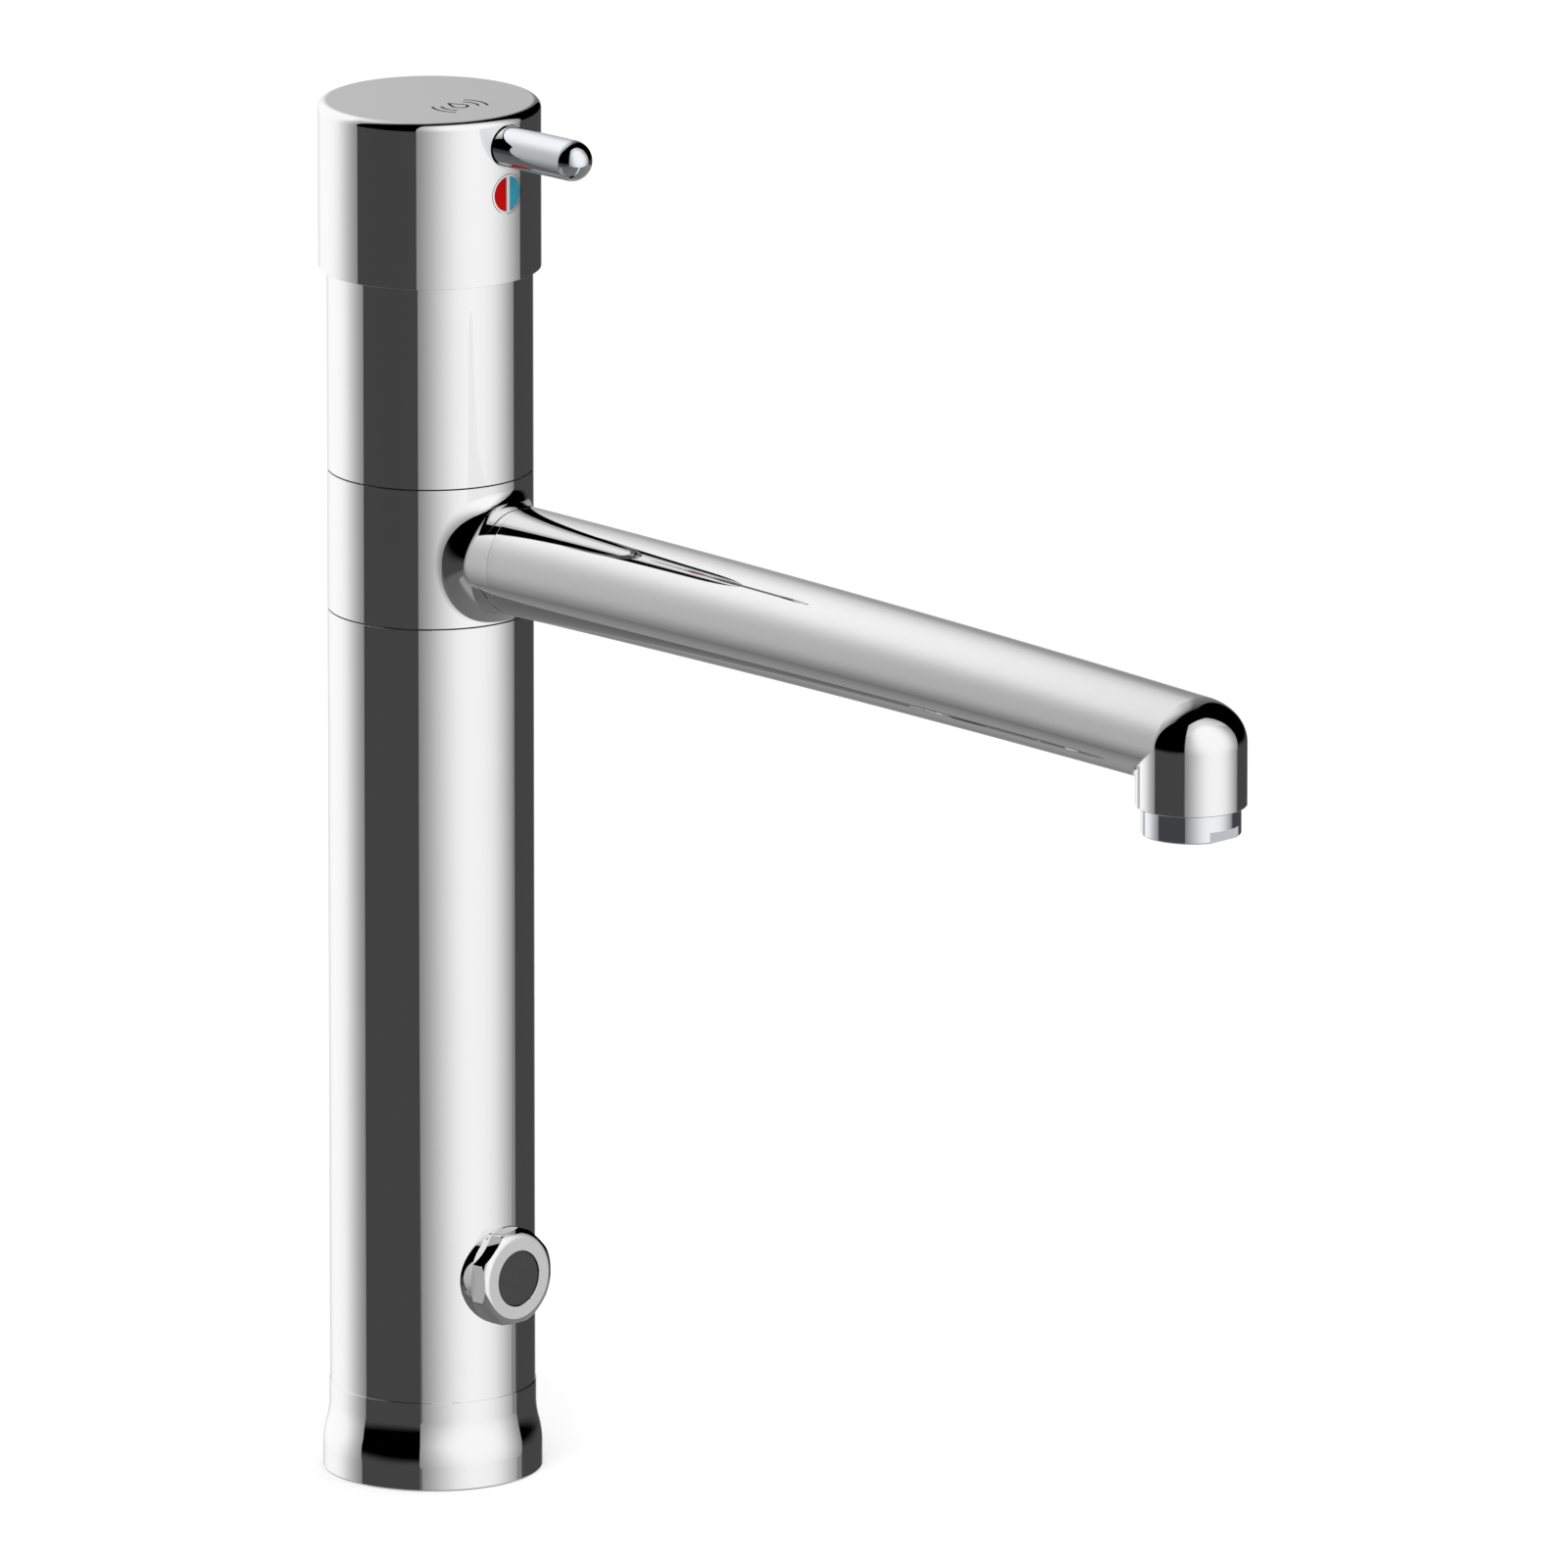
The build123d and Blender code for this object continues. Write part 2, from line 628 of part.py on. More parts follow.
nozzle_bore_r = nozzle_r - nozzle_wall
thread_top_z = nozzle_mouth_z + aerator_thread_length
aerator_seal_top_z = thread_top_z + aerator_seal_height
nozzle_places = [(0, -spout_reach)]
nozzle_dome_height = spout_half_height(spout_reach) + nozzle_dome_rise
with BuildPart() as spout_tube:
    loft(spout_sections(0))
    add_round(nozzle_r, nozzle_mouth_z, nozzle_dome_z, places=nozzle_places)
    with BuildSketch(facing(nozzle_dome_z).offset(spout_reach)) as dome:
        Ellipse(nozzle_r, nozzle_dome_height + nozzle_dome_flat)
        Rectangle(nozzle_r, nozzle_dome_height, align=(Align.MIN, Align.MIN), mode=Mode.INTERSECT)
    revolve(dome.sketch, axis=Axis((0, -spout_reach, 0), (0, 0, 1)))
    nozzle_root = spout_tube.edges().filter_by(GeomType.BSPLINE).sort_by(Axis.Z)[0]
    fillet(nozzle_root, nozzle_fillet)
    chamfer(spout_tube.edges().group_by(Axis.Y)[-1], edge_break)
    loft(spout_sections(spout_wall), mode=Mode.SUBTRACT)
    cut_round(nozzle_bore_r - nozzle_wall, nozzle_mouth_z, spout_axis_z(spout_reach), places=nozzle_places)
    cut_round(nozzle_bore_r, nozzle_mouth_z, aerator_seal_top_z, places=nozzle_places)

aerator_bottom_z = nozzle_mouth_z - aerator_show
aerator_bore_r = aerator_r - aerator_wall
mesh_bottom_z = aerator_bottom_z + aerator_lip
mesh_top_z = mesh_bottom_z + mesh_height
with BuildPart() as aerator_housing:
    add_round(aerator_r, aerator_bottom_z, nozzle_mouth_z, places=nozzle_places)
    chamfer(aerator_housing.edges().group_by(Axis.Z)[0], 2 * edge_break)
    add_round(nozzle_bore_r - seat_gap, nozzle_mouth_z, thread_top_z, places=nozzle_places)
    cut_round(aerator_bore_r, mesh_bottom_z, thread_top_z, places=nozzle_places)
    cut_round(aerator_bore_r - aerator_lip, aerator_bottom_z, mesh_bottom_z, places=nozzle_places)
    with BuildSketch(Plane.XY.offset(aerator_bottom_z)):
        with Locations(nozzle_places[0]):
            Circle(2 * aerator_r)
            Rectangle(4 * aerator_r, aerator_flats, mode=Mode.SUBTRACT)
    extrude(amount=aerator_flat_height, mode=Mode.SUBTRACT)

mesh_field_r = aerator_bore_r - aerator_lip - mesh_hole_r
mesh_rows = 2 * int(mesh_field_r / (mesh_pitch * cos(radians(30)))) + 1
mesh_grid = HexLocations(mesh_pitch / 2, mesh_rows, mesh_rows).local_locations
mesh_places = [spot.position for spot in mesh_grid if spot.position.length < mesh_field_r]
with BuildPart() as aerator_mesh:
    add_round(aerator_bore_r - seat_gap, mesh_bottom_z, mesh_top_z, places=nozzle_places)
    with BuildSketch(Plane.XY.offset(mesh_bottom_z)):
        with Locations(*[(spot.X, spot.Y - spout_reach) for spot in mesh_places]):
            Circle(mesh_hole_r)
    extrude(amount=mesh_height, mode=Mode.SUBTRACT)

with BuildPart() as flow_regulator:
    add_round(aerator_bore_r - seat_gap, mesh_top_z, thread_top_z, places=nozzle_places)
    with BuildSketch(Plane.XY.offset(mesh_top_z)):
        with Locations(nozzle_places[0]):
            with PolarLocations(aerator_bore_r / 2, regulator_holes):
                Circle(regulator_hole_r)
    extrude(amount=thread_top_z - mesh_top_z, mode=Mode.SUBTRACT)

aerator_seal = tube(nozzle_bore_r - seat_gap, nozzle_bore_r - nozzle_wall, thread_top_z, aerator_seal_top_z,
                    places=nozzle_places)

# Seat that carries the cartridge and closes the bearing, with its screws

with BuildPart() as cartridge_seat:
    add_round(seated_r, ring_top_z, seat_top_z)
    for side in sides:
        with BuildSketch(Plane.XY.offset(ring_top_z)):
            with Locations((side * (pipe_offset + port_offset) / 2, 0)):
                SlotCenterToCenter(pipe_offset - port_offset, 2 * water_way_r)
        extrude(amount=transfer_height, mode=Mode.SUBTRACT)
    with BuildSketch(Plane.XY.offset(ring_top_z)):
        with Locations((0, (mixed_offset + port_offset) / 2)):
            SlotCenterToCenter(mixed_offset - port_offset, 2 * mixed_way_r, rotation=90)
    extrude(amount=transfer_height, mode=Mode.SUBTRACT)
    cut_round(water_way_r, ring_top_z, seat_top_z, places=port_places)
    cut_round(seat_screw_r + free_gap, ring_top_z, seat_top_z, places=seat_screw_places)
    cut_round(seat_screw_head_r + free_gap, seat_top_z - seat_screw_head_height - free_gap, seat_top_z,
              places=seat_screw_places)
    cut_round(stop_pin_r, ring_top_z, ring_top_z + stop_pin_hold, places=stop_pin_places)

seat_screw_under_head_z = seat_top_z - seat_screw_head_height - free_gap
seat_screws = socket_screws(seat_screw_r, seat_screw_head_r, seat_screw_head_height,
                            seat_screw_under_head_z - ring_top_z + seat_screw_hold - free_gap,
                            seat_screw_under_head_z, seat_screw_places)

# Cartridge: base, body, the disc that stands still, and the nut that holds it down

port_seal_in_r = water_way_r + port_seal_lip
port_seal_pocket_r = port_seal_in_r + port_seal_wire + seat_gap
with BuildPart() as cartridge_base:
    add_round(cartridge_bore_r - seat_gap, seat_top_z, fixed_disc_z)
    cut_round(water_way_r, seat_top_z, fixed_disc_z, places=port_places)
    cut_round(port_seal_pocket_r, seat_top_z, seat_top_z + port_seal_wire, places=port_places)

with BuildPart() as cartridge_body:
    add_round(cartridge_r, seat_top_z, cartridge_top_z)
    add_round(cartridge_neck_r, cartridge_top_z, neck_top_z)
    cut_round(cartridge_bore_r, seat_top_z, cartridge_ceiling_z)
    cut_round(stem_r + running_gap, cartridge_ceiling_z, neck_top_z)

with BuildPart() as fixed_disc:
    add_round(cartridge_bore_r - seat_gap, fixed_disc_z, fixed_disc_z + fixed_disc_height)
    cut_round(water_way_r, fixed_disc_z, fixed_disc_z + fixed_disc_height, places=port_places)

limit_gap_half = cap_turn + degrees(asin((limit_lug_width / 2 + free_gap) / limit_ridge_in_r))
with BuildPart() as cartridge_nut:
    add_round(seated_r, cartridge_top_z, nut_top_z)
    extrude(sector(limit_ridge_in_r, limit_ridge_r, 270, 180 - limit_gap_half, nut_top_z),
            amount=limit_ridge_height)
    cut_round(cartridge_neck_r + seat_gap, cartridge_top_z, nut_top_z)

# Turning part of the cartridge: the moving disc, its carrier, the stem and the limit ring

carrier_r = cartridge_bore_r - free_gap
moving_disc_r = carrier_r - carrier_rim - seat_gap
with BuildPart() as moving_disc:
    add_round(moving_disc_r, moving_disc_z, carrier_z)
    extrude(sector(port_offset - water_way_r, port_offset + water_way_r, 90, mixing_half_angle,
                   moving_disc_z),
            amount=moving_disc_height / 2, mode=Mode.SUBTRACT)

key_length = 2 * stem_r - 2 * running_gap
with BuildPart() as disc_carrier:
    add_round(carrier_r, carrier_z - carrier_grip, stem_flange_z)
    cut_round(moving_disc_r + seat_gap, carrier_z - carrier_grip, carrier_z)
    with BuildSketch(Plane.XY.offset(stem_flange_z)):
        Rectangle(key_length + 2 * seat_gap, key_width + 2 * seat_gap)
    extrude(amount=-key_depth, mode=Mode.SUBTRACT)

stem_top_z = hub_top_z - hub_web
stem_seal_z = neck_top_z - stem_seal_drop
with BuildPart() as cartridge_stem:
    with BuildSketch(Plane.XY.offset(stem_flange_z)):
        Rectangle(key_length, key_width)
    extrude(amount=-(key_depth - seat_gap))
    add_round(stem_flange_r, stem_flange_z, cartridge_ceiling_z - 2 * running_gap)
    add_round(stem_r, cartridge_ceiling_z - 2 * running_gap, neck_top_z)
    cut_groove(stem_r - stem_seal_wire, stem_flange_r, stem_seal_z - stem_groove_height / 2,
               stem_seal_z + stem_groove_height / 2)
    with BuildSketch(Plane.XY.offset(neck_top_z)):
        RegularPolygon(spline_r, spline_sides)
    extrude(amount=stem_top_z - neck_top_z)
    cut_round(adaptor_screw_r, stem_top_z - adaptor_screw_hold, stem_top_z)

stem_seal = seal_rings(stem_r - stem_seal_wire, stem_seal_wire, [stem_seal_z])

limit_ring_z = nut_top_z + limit_ridge_height + 2 * free_gap
with BuildPart() as limit_ring:
    add_round(limit_ring_r, limit_ring_z, limit_ring_z + limit_ring_height)
    with BuildSketch(Plane.XY.offset(nut_top_z + free_gap)):
        with Locations((0, (hub_r + limit_lug_reach) / 2)):
            Rectangle(limit_lug_width, limit_lug_reach - hub_r)
    extrude(amount=limit_ring_z + limit_ring_height - nut_top_z - free_gap)
    cut_round(hub_r + seat_gap, nut_top_z, limit_ring_z + limit_ring_height)

# Brass hub inside the cap: it grips the stem, centres the cap and takes the lever's thread

hub_flange_r = cap_bore_r - 2 * seat_gap
with BuildPart() as stem_adaptor:
    add_round(hub_r, hub_bottom_z, hub_top_z)
    add_round(hub_flange_r, hub_top_z - hub_flange_height, hub_top_z)
    with BuildSketch(Plane.XY.offset(hub_top_z)):
        with Locations((0, -(hub_r + hub_flange_r) / 2)):
            Rectangle(lever_boss_width, hub_flange_r - hub_r)
        Circle(hub_flange_r, mode=Mode.INTERSECT)
    extrude(amount=cap_ceiling_z - 2 * seat_gap - hub_top_z)
    with BuildSketch(Plane.XY.offset(hub_bottom_z)):
        RegularPolygon(spline_r + seat_gap, spline_sides)
    extrude(amount=stem_top_z + seat_gap - hub_bottom_z, mode=Mode.SUBTRACT)
    cut_round(adaptor_screw_r + seat_gap, stem_top_z, hub_top_z)
    cut_round(lever_shank_r + seat_gap, hub_r - overcut, cap_r, base=lever_plane)

adaptor_screw = socket_screws(adaptor_screw_r, adaptor_screw_head_r, adaptor_screw_head_height,
                              hub_web + adaptor_screw_hold - free_gap, hub_top_z, [(0, 0)])

# Cap with its symbol, the lever, and the hot and cold mark

drop_tip = drop_r / sin(radians(drop_point_half_angle))


def drop_outline(r, tip):
    """A water drop with its round end at the origin and its point tip away along +Y."""
    touch = acos(r / tip)
    with BuildSketch(mode=Mode.PRIVATE) as drop:
        with BuildLine():
            left = (-r * sin(touch), r * cos(touch))
            right = (r * sin(touch), r * cos(touch))
            ThreePointArc(left, (0, -r), right)
            Polyline(right, (0, tip), left)
        make_face()
    return drop.sketch


with BuildPart() as cap:
    add_round(cap_r, cap_bottom_z, cap_top_z)
    fillet(cap.edges().group_by(Axis.Z)[-1], cap_edge_round)
    cut_round(skirt_bore_r, cap_bottom_z, cap_step_z)
    cut_round(cap_bore_r, cap_step_z, cap_ceiling_z)
    cut_round(lever_seat_r, cap_r - lever_seat_depth, 2 * cap_r, base=lever_plane)
    cut_round(lever_shank_r + seat_gap, 0, cap_r, base=lever_plane)
    cut_round(mark_r + seat_gap, cap_r - mark_depth, 2 * cap_r, base=mark_plane)
    symbol_z = cap_top_z - engraving_depth
    for middle in (0, 180):
        for wave in range(wave_count):
            wave_r = first_wave_r + wave * wave_step
            extrude(sector(wave_r, wave_r + engraving_width, middle, wave_half_angle, symbol_z,
                           centre=(0, -symbol_offset)),
                    amount=engraving_depth, mode=Mode.SUBTRACT)
    with BuildSketch(Plane.XY.offset(symbol_z)):
        with Locations((0, -symbol_offset)):
            add(drop_outline(drop_r, drop_tip))
            add(drop_outline(drop_r - engraving_width, drop_tip * (1 - engraving_width / drop_r)),
                mode=Mode.SUBTRACT)
    extrude(amount=engraving_depth, mode=Mode.SUBTRACT)

cap_guide_ring_r = skirt_bore_r - running_gap
with BuildPart() as cap_guide_ring:
    add_round(cap_guide_ring_r, column_top_z, guide_ring_top_z)
    add_round(seated_r, column_top_z - guide_ring_spigot, column_top_z)
    cut_round(seated_r - guide_ring_wall, column_top_z - guide_ring_spigot, guide_ring_top_z)

lever_root = cap_r - lever_seat_depth
with BuildPart() as lever_pin:
    add_round(lever_r, lever_root, lever_reach - lever_r, base=lever_plane)
    with Locations((0, lever_r - lever_reach, lever_z)):
        Sphere(lever_r)
    add_round(lever_shank_r, lever_root - lever_shank_length, lever_root, base=lever_plane)

mark_floor = cap_r - mark_depth
mark_field_r = mark_r - mark_rim
with BuildPart() as mark_frame:
    add_round(mark_r, mark_floor, cap_r, base=mark_plane)
    with BuildSketch(mark_plane.offset(mark_floor + mark_back)):
        Circle(mark_field_r)
        Rectangle(mark_bar, 3 * mark_r, mode=Mode.SUBTRACT)
    extrude(amount=mark_depth, mode=Mode.SUBTRACT)
    with BuildSketch():
        Circle(cap_r)
    extrude(amount=cap_top_z, mode=Mode.INTERSECT)


def mark_inlay(side):
    """One coloured half of the mark, to the left (-1) or the right (1)."""
    with BuildPart() as inlay:
        with BuildSketch(mark_plane.offset(mark_floor + mark_back)):
            Circle(mark_field_r - seat_gap)
            with Locations((side * (mark_r + mark_bar / 2 + seat_gap), 0)):
                Rectangle(2 * mark_r, 3 * mark_r, mode=Mode.INTERSECT)
        extrude(amount=mark_depth)
        with BuildSketch():
            Circle(cap_r - seat_gap)
        extrude(amount=cap_top_z, mode=Mode.INTERSECT)
    return inlay


mark_hot = mark_inlay(-1)
mark_cold = mark_inlay(1)

# Solenoid valve under the bearing core: body, diaphragm, bonnet with its sleeve, and screws.
# The port seals under the cartridge and on top of the valve are alike.

diaphragm_z = valve_bottom_z + seat_gap
diaphragm_pocket_z = diaphragm_z + diaphragm_height + seat_gap
valve_seat_z = diaphragm_z + diaphragm_height + diaphragm_boss_height + seat_gap
valve_chamber_top_z = diaphragm_pocket_z + valve_chamber_height
valve_port_places = [(0, 0), (0, mixed_offset)]
with BuildPart() as valve_body:
    with BuildSketch(Plane.XY.offset(valve_bottom_z)):
        Circle(valve_r)
        Rectangle(2 * valve_half_width, 2 * valve_r, mode=Mode.INTERSECT)
    extrude(amount=valve_height)
    cut_round(diaphragm_r + seat_gap, valve_bottom_z, diaphragm_pocket_z)
    cut_round(valve_chamber_r, diaphragm_pocket_z, valve_chamber_top_z)
    add_round(water_way_r + valve_seat_wall, valve_seat_z, valve_chamber_top_z)
    cut_round(water_way_r, valve_seat_z, core_bottom_z)
    cut_round(mixed_way_r, valve_seat_z, core_bottom_z, places=mixed_places)
    with BuildSketch(Plane.XY.offset(valve_seat_z)):
        with Locations((0, (valve_chamber_r - valve_seat_wall + mixed_offset) / 2)):
            Rectangle(2 * mixed_way_r, mixed_offset - valve_chamber_r + valve_seat_wall)
    extrude(amount=valve_chamber_top_z - valve_seat_z, mode=Mode.SUBTRACT)
    cut_round(port_seal_pocket_r, core_bottom_z - port_seal_wire, core_bottom_z, places=valve_port_places)
    cut_round(valve_screw_r + seat_gap, valve_bottom_z, core_bottom_z, places=valve_screw_places)

with BuildPart() as port_seals:
    seal_spots = [(x, y, seat_top_z + port_seal_wire / 2) for x, y in port_places]
    seal_spots += [(x, y, core_bottom_z - port_seal_wire / 2) for x, y in valve_port_places]
    with Locations(*seal_spots):
        Torus(port_seal_in_r + port_seal_wire / 2, port_seal_wire / 2)

with BuildPart() as valve_diaphragm:
    add_round(diaphragm_r, diaphragm_z, diaphragm_z + diaphragm_height)
    add_round(diaphragm_boss_r, diaphragm_z + diaphragm_height, valve_seat_z - seat_gap)
    cut_round(pilot_hole_r, diaphragm_z, valve_seat_z)

with BuildPart() as valve_bonnet:
    with BuildSketch(Plane.XY.offset(bonnet_bottom_z)):
        Circle(bonnet_r)
        Rectangle(2 * valve_half_width, 2 * bonnet_r, mode=Mode.INTERSECT)
    extrude(amount=bonnet_height)
    add_round(sleeve_r, sleeve_bottom_z, bonnet_bottom_z)
    cut_round(pilot_chamber_r, valve_bottom_z - pilot_chamber_height, valve_bottom_z)
    cut_round(sleeve_bore_r, sleeve_bottom_z + sleeve_floor, valve_bottom_z)
    cut_round(valve_screw_r + seat_gap, bonnet_bottom_z, valve_bottom_z, places=valve_screw_places)

valve_screws = socket_screws(valve_screw_r, valve_screw_head_r, valve_screw_head_height,
                             bonnet_height + valve_height + valve_screw_hold - free_gap,
                             bonnet_bottom_z, valve_screw_places, up=-1)

# Solenoid: fixed pole, spring, plunger and its tip, coil, yoke and nut

with BuildPart() as fixed_pole:
    add_round(plunger_r, sleeve_bottom_z + sleeve_floor, pole_top_z)
    cut_round(spring_bore_r, pole_top_z - spring_bore_depth, pole_top_z)

tip_bottom_z = plunger_top_z + plunger_tip_show - plunger_tip_height
with BuildPart() as plunger:
    add_round(plunger_r, plunger_bottom_z, plunger_top_z)
    cut_round(plunger_tip_r, tip_bottom_z, plunger_top_z)
    cut_round(spring_bore_r, plunger_bottom_z, plunger_bottom_z + spring_bore_depth)

plunger_tip = tube(plunger_tip_r, 0, tip_bottom_z, plunger_top_z + plunger_tip_show)

# The spring is as deep as its two bores, and stands in for its turns as one plain sleeve.
spring_outer_r = spring_bore_r - 4 * seat_gap
plunger_spring = tube(spring_outer_r, spring_outer_r - spring_wire, pole_top_z - spring_bore_depth,
                      plunger_bottom_z + spring_bore_depth)

with BuildPart() as solenoid_coil:
    add_round(coil_r, coil_bottom_z, coil_top_z)
    with BuildSketch(Plane.XY.offset(terminal_z)):
        with Locations((0, -terminal_reach / 2)):
            Rectangle(2 * terminal_half_width, terminal_reach)
    extrude(amount=terminal_height)
    cut_round(sleeve_r + seat_gap, coil_bottom_z, coil_top_z)

with BuildPart() as coil_yoke:
    with BuildSketch(Plane.XY.offset(yoke_bottom_z)):
        with Locations((0, (yoke_back - yoke_front) / 2)):
            Rectangle(2 * yoke_half_width, yoke_back + yoke_front)
    extrude(amount=yoke_top_z - yoke_bottom_z)
    with BuildSketch(Plane.XY.offset(coil_bottom_z)):
        with Locations((0, (yoke_back - yoke_plate - yoke_front) / 2)):
            Rectangle(2 * yoke_half_width, yoke_back - yoke_plate + yoke_front)
    extrude(amount=coil_height, mode=Mode.SUBTRACT)
    cut_round(sleeve_r + seat_gap, yoke_bottom_z, yoke_top_z)

with BuildPart() as coil_nut:
    with BuildSketch(Plane.XY.offset(yoke_bottom_z - coil_nut_height)):
        RegularPolygon(coil_nut_r, 6)
        Circle(sleeve_r + seat_gap, mode=Mode.SUBTRACT)
    extrude(amount=coil_nut_height)

# Lead from the sensor's board to the coil, held inside the column

lead_y = -terminal_reach + terminal_edge + lead_r
lead_points = [
    (0, -housing_floor, sensor_z),
    (0, lead_back, sensor_z),
    (0, lead_back, sensor_z + lead_rise),
    (0, lead_y, sensor_z + lead_rise + lead_cross),
    (0, lead_y, terminal_z),
]


def bend_radii(points):
    """The largest even bends that the runs beside each corner allow."""
    radii = []
    for before, corner, after in zip(points, points[1:], points[2:]):
        run_in = Vector(corner) - Vector(before)
        run_out = Vector(after) - Vector(corner)
        turn = radians(run_in.get_angle(run_out))
        radii.append(0.45 * min(run_in.length, run_out.length) / tan(turn / 2))
    return radii


lead_radii = bend_radii(lead_points)
print("lead bends", [round(r, 1) for r in lead_radii])
with BuildPart() as coil_lead:
    with BuildLine() as lead_path:
        FilletPolyline(*lead_points, radius=lead_radii)
    with BuildSketch(Plane(origin=lead_points[0], z_dir=(0, 1, 0))):
        Circle(lead_r)
    sweep(path=lead_path.line)

pieces = {
    "base_flange": base_flange,
    "deck_gasket": deck_gasket,
    "base_insert": base_insert,
    "cable_grommet": cable_grommet,
    "hot_supply_pipe": hot_supply_pipe,
    "cold_supply_pipe": cold_supply_pipe,
    "pipe_seals": pipe_seals,
    "lower_column": lower_column,
    "upper_column": upper_column,
    "sensor_collar": sensor_collar,
    "sensor_nut": sensor_nut,
    "sensor_seal": sensor_seal,
    "sensor_window": sensor_window,
    "sensor_housing": sensor_housing,
    "sensor_saddle": sensor_saddle,
    "sensor_board": sensor_board,
    "infrared_emitter": infrared_emitter,
    "infrared_receiver": infrared_receiver,
    "swivel_core": swivel_core,
    "core_seals": core_seals,
    "slip_rings": slip_rings,
    "stop_pin": stop_pin,
    "spout_ring": spout_ring,
    "spout_tube": spout_tube,
    "aerator_housing": aerator_housing,
    "aerator_mesh": aerator_mesh,
    "flow_regulator": flow_regulator,
    "aerator_seal": aerator_seal,
    "cartridge_seat": cartridge_seat,
    "seat_screws": seat_screws,
    "cartridge_base": cartridge_base,
    "cartridge_body": cartridge_body,
    "fixed_disc": fixed_disc,
    "cartridge_nut": cartridge_nut,
    "moving_disc": moving_disc,
    "disc_carrier": disc_carrier,
    "cartridge_stem": cartridge_stem,
    "stem_seal": stem_seal,
    "limit_ring": limit_ring,
    "stem_adaptor": stem_adaptor,
    "adaptor_screw": adaptor_screw,
    "cap": cap,
    "cap_guide_ring": cap_guide_ring,
    "lever_pin": lever_pin,
    "mark_frame": mark_frame,
    "mark_hot": mark_hot,
    "mark_cold": mark_cold,
    "valve_body": valve_body,
    "port_seals": port_seals,
    "valve_diaphragm": valve_diaphragm,
    "valve_bonnet": valve_bonnet,
    "valve_screws": valve_screws,
    "fixed_pole": fixed_pole,
    "plunger": plunger,
    "plunger_tip": plunger_tip,
    "plunger_spring": plunger_spring,
    "solenoid_coil": solenoid_coil,
    "coil_yoke": coil_yoke,
    "coil_nut": coil_nut,
    "coil_lead": coil_lead,
}
for name, piece in pieces.items():
    piece.part.label = name
    export_step(piece.part, f"parts/{name}.step")
print(len(pieces), "pieces written")
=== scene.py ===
import json
from math import asin, atan2, cos, degrees, hypot, pi, radians, sin, sqrt, tan

import bmesh
import bpy
from mathutils import Matrix, Vector


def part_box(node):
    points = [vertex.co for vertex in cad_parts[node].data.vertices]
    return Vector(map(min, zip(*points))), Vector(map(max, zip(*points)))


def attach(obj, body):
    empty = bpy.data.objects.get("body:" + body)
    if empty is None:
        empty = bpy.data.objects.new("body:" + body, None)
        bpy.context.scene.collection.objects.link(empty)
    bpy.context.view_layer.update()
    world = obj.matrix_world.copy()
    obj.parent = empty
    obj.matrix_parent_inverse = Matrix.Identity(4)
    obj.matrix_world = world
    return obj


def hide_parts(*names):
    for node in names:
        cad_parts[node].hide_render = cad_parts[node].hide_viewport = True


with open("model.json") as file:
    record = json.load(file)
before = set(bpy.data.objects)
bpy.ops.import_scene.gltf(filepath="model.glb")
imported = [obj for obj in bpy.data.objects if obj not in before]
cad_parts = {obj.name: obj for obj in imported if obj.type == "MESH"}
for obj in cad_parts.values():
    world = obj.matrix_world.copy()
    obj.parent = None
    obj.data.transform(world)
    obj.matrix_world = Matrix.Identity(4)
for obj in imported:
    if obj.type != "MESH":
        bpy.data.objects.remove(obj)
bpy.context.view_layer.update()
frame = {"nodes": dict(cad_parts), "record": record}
nodes = frame["nodes"]
print("frame loaded:", len(nodes), "nodes")


class Wire:
    # one output of a node, so that shader maths reads as plain sums
    def __init__(self, graph, socket):
        self.graph, self.socket = graph, socket

    def sum(self, operation, first, second=None):
        return self.graph.node("ShaderNodeMath", {"operation": operation}, {0: first, 1: second})

    def output(self, name):
        return Wire(self.graph, self.socket.node.outputs[name])

    def __add__(self, other):
        return self.sum("ADD", self, other)

    def __sub__(self, other):
        return self.sum("SUBTRACT", self, other)

    def __rsub__(self, other):
        return self.sum("SUBTRACT", other, self)

    def __mul__(self, other):
        return self.sum("MULTIPLY", self, other)

    def __truediv__(self, other):
        return self.sum("DIVIDE", self, other)

    def __rtruediv__(self, other):
        return self.sum("DIVIDE", other, self)

    def __pow__(self, other):
        return self.sum("POWER", self, other)

    __radd__ = __add__

    def above(self, level):
        return self.sum("GREATER_THAN", self, level)

    def softMost(self, level):
        # levels off smoothly below this value
        return self / (1 + (self / level) ** 6) ** (1 / 6)

    def atLeast(self, level):
        return self.sum("MAXIMUM", self, level)

    def swell(self, middle, spread, curve):
        # grows on both sides of the middle
        return self.sum("ABSOLUTE", (self - middle) / spread) ** curve

    def fade(self, start, end):
        # 0 at start and 1 at end, with soft ends
        return self.graph.node("ShaderNodeMapRange", {"interpolation_type": "SMOOTHSTEP"},
                               {0: self, 1: start, 2: end, 3: 0.0, 4: 1.0})


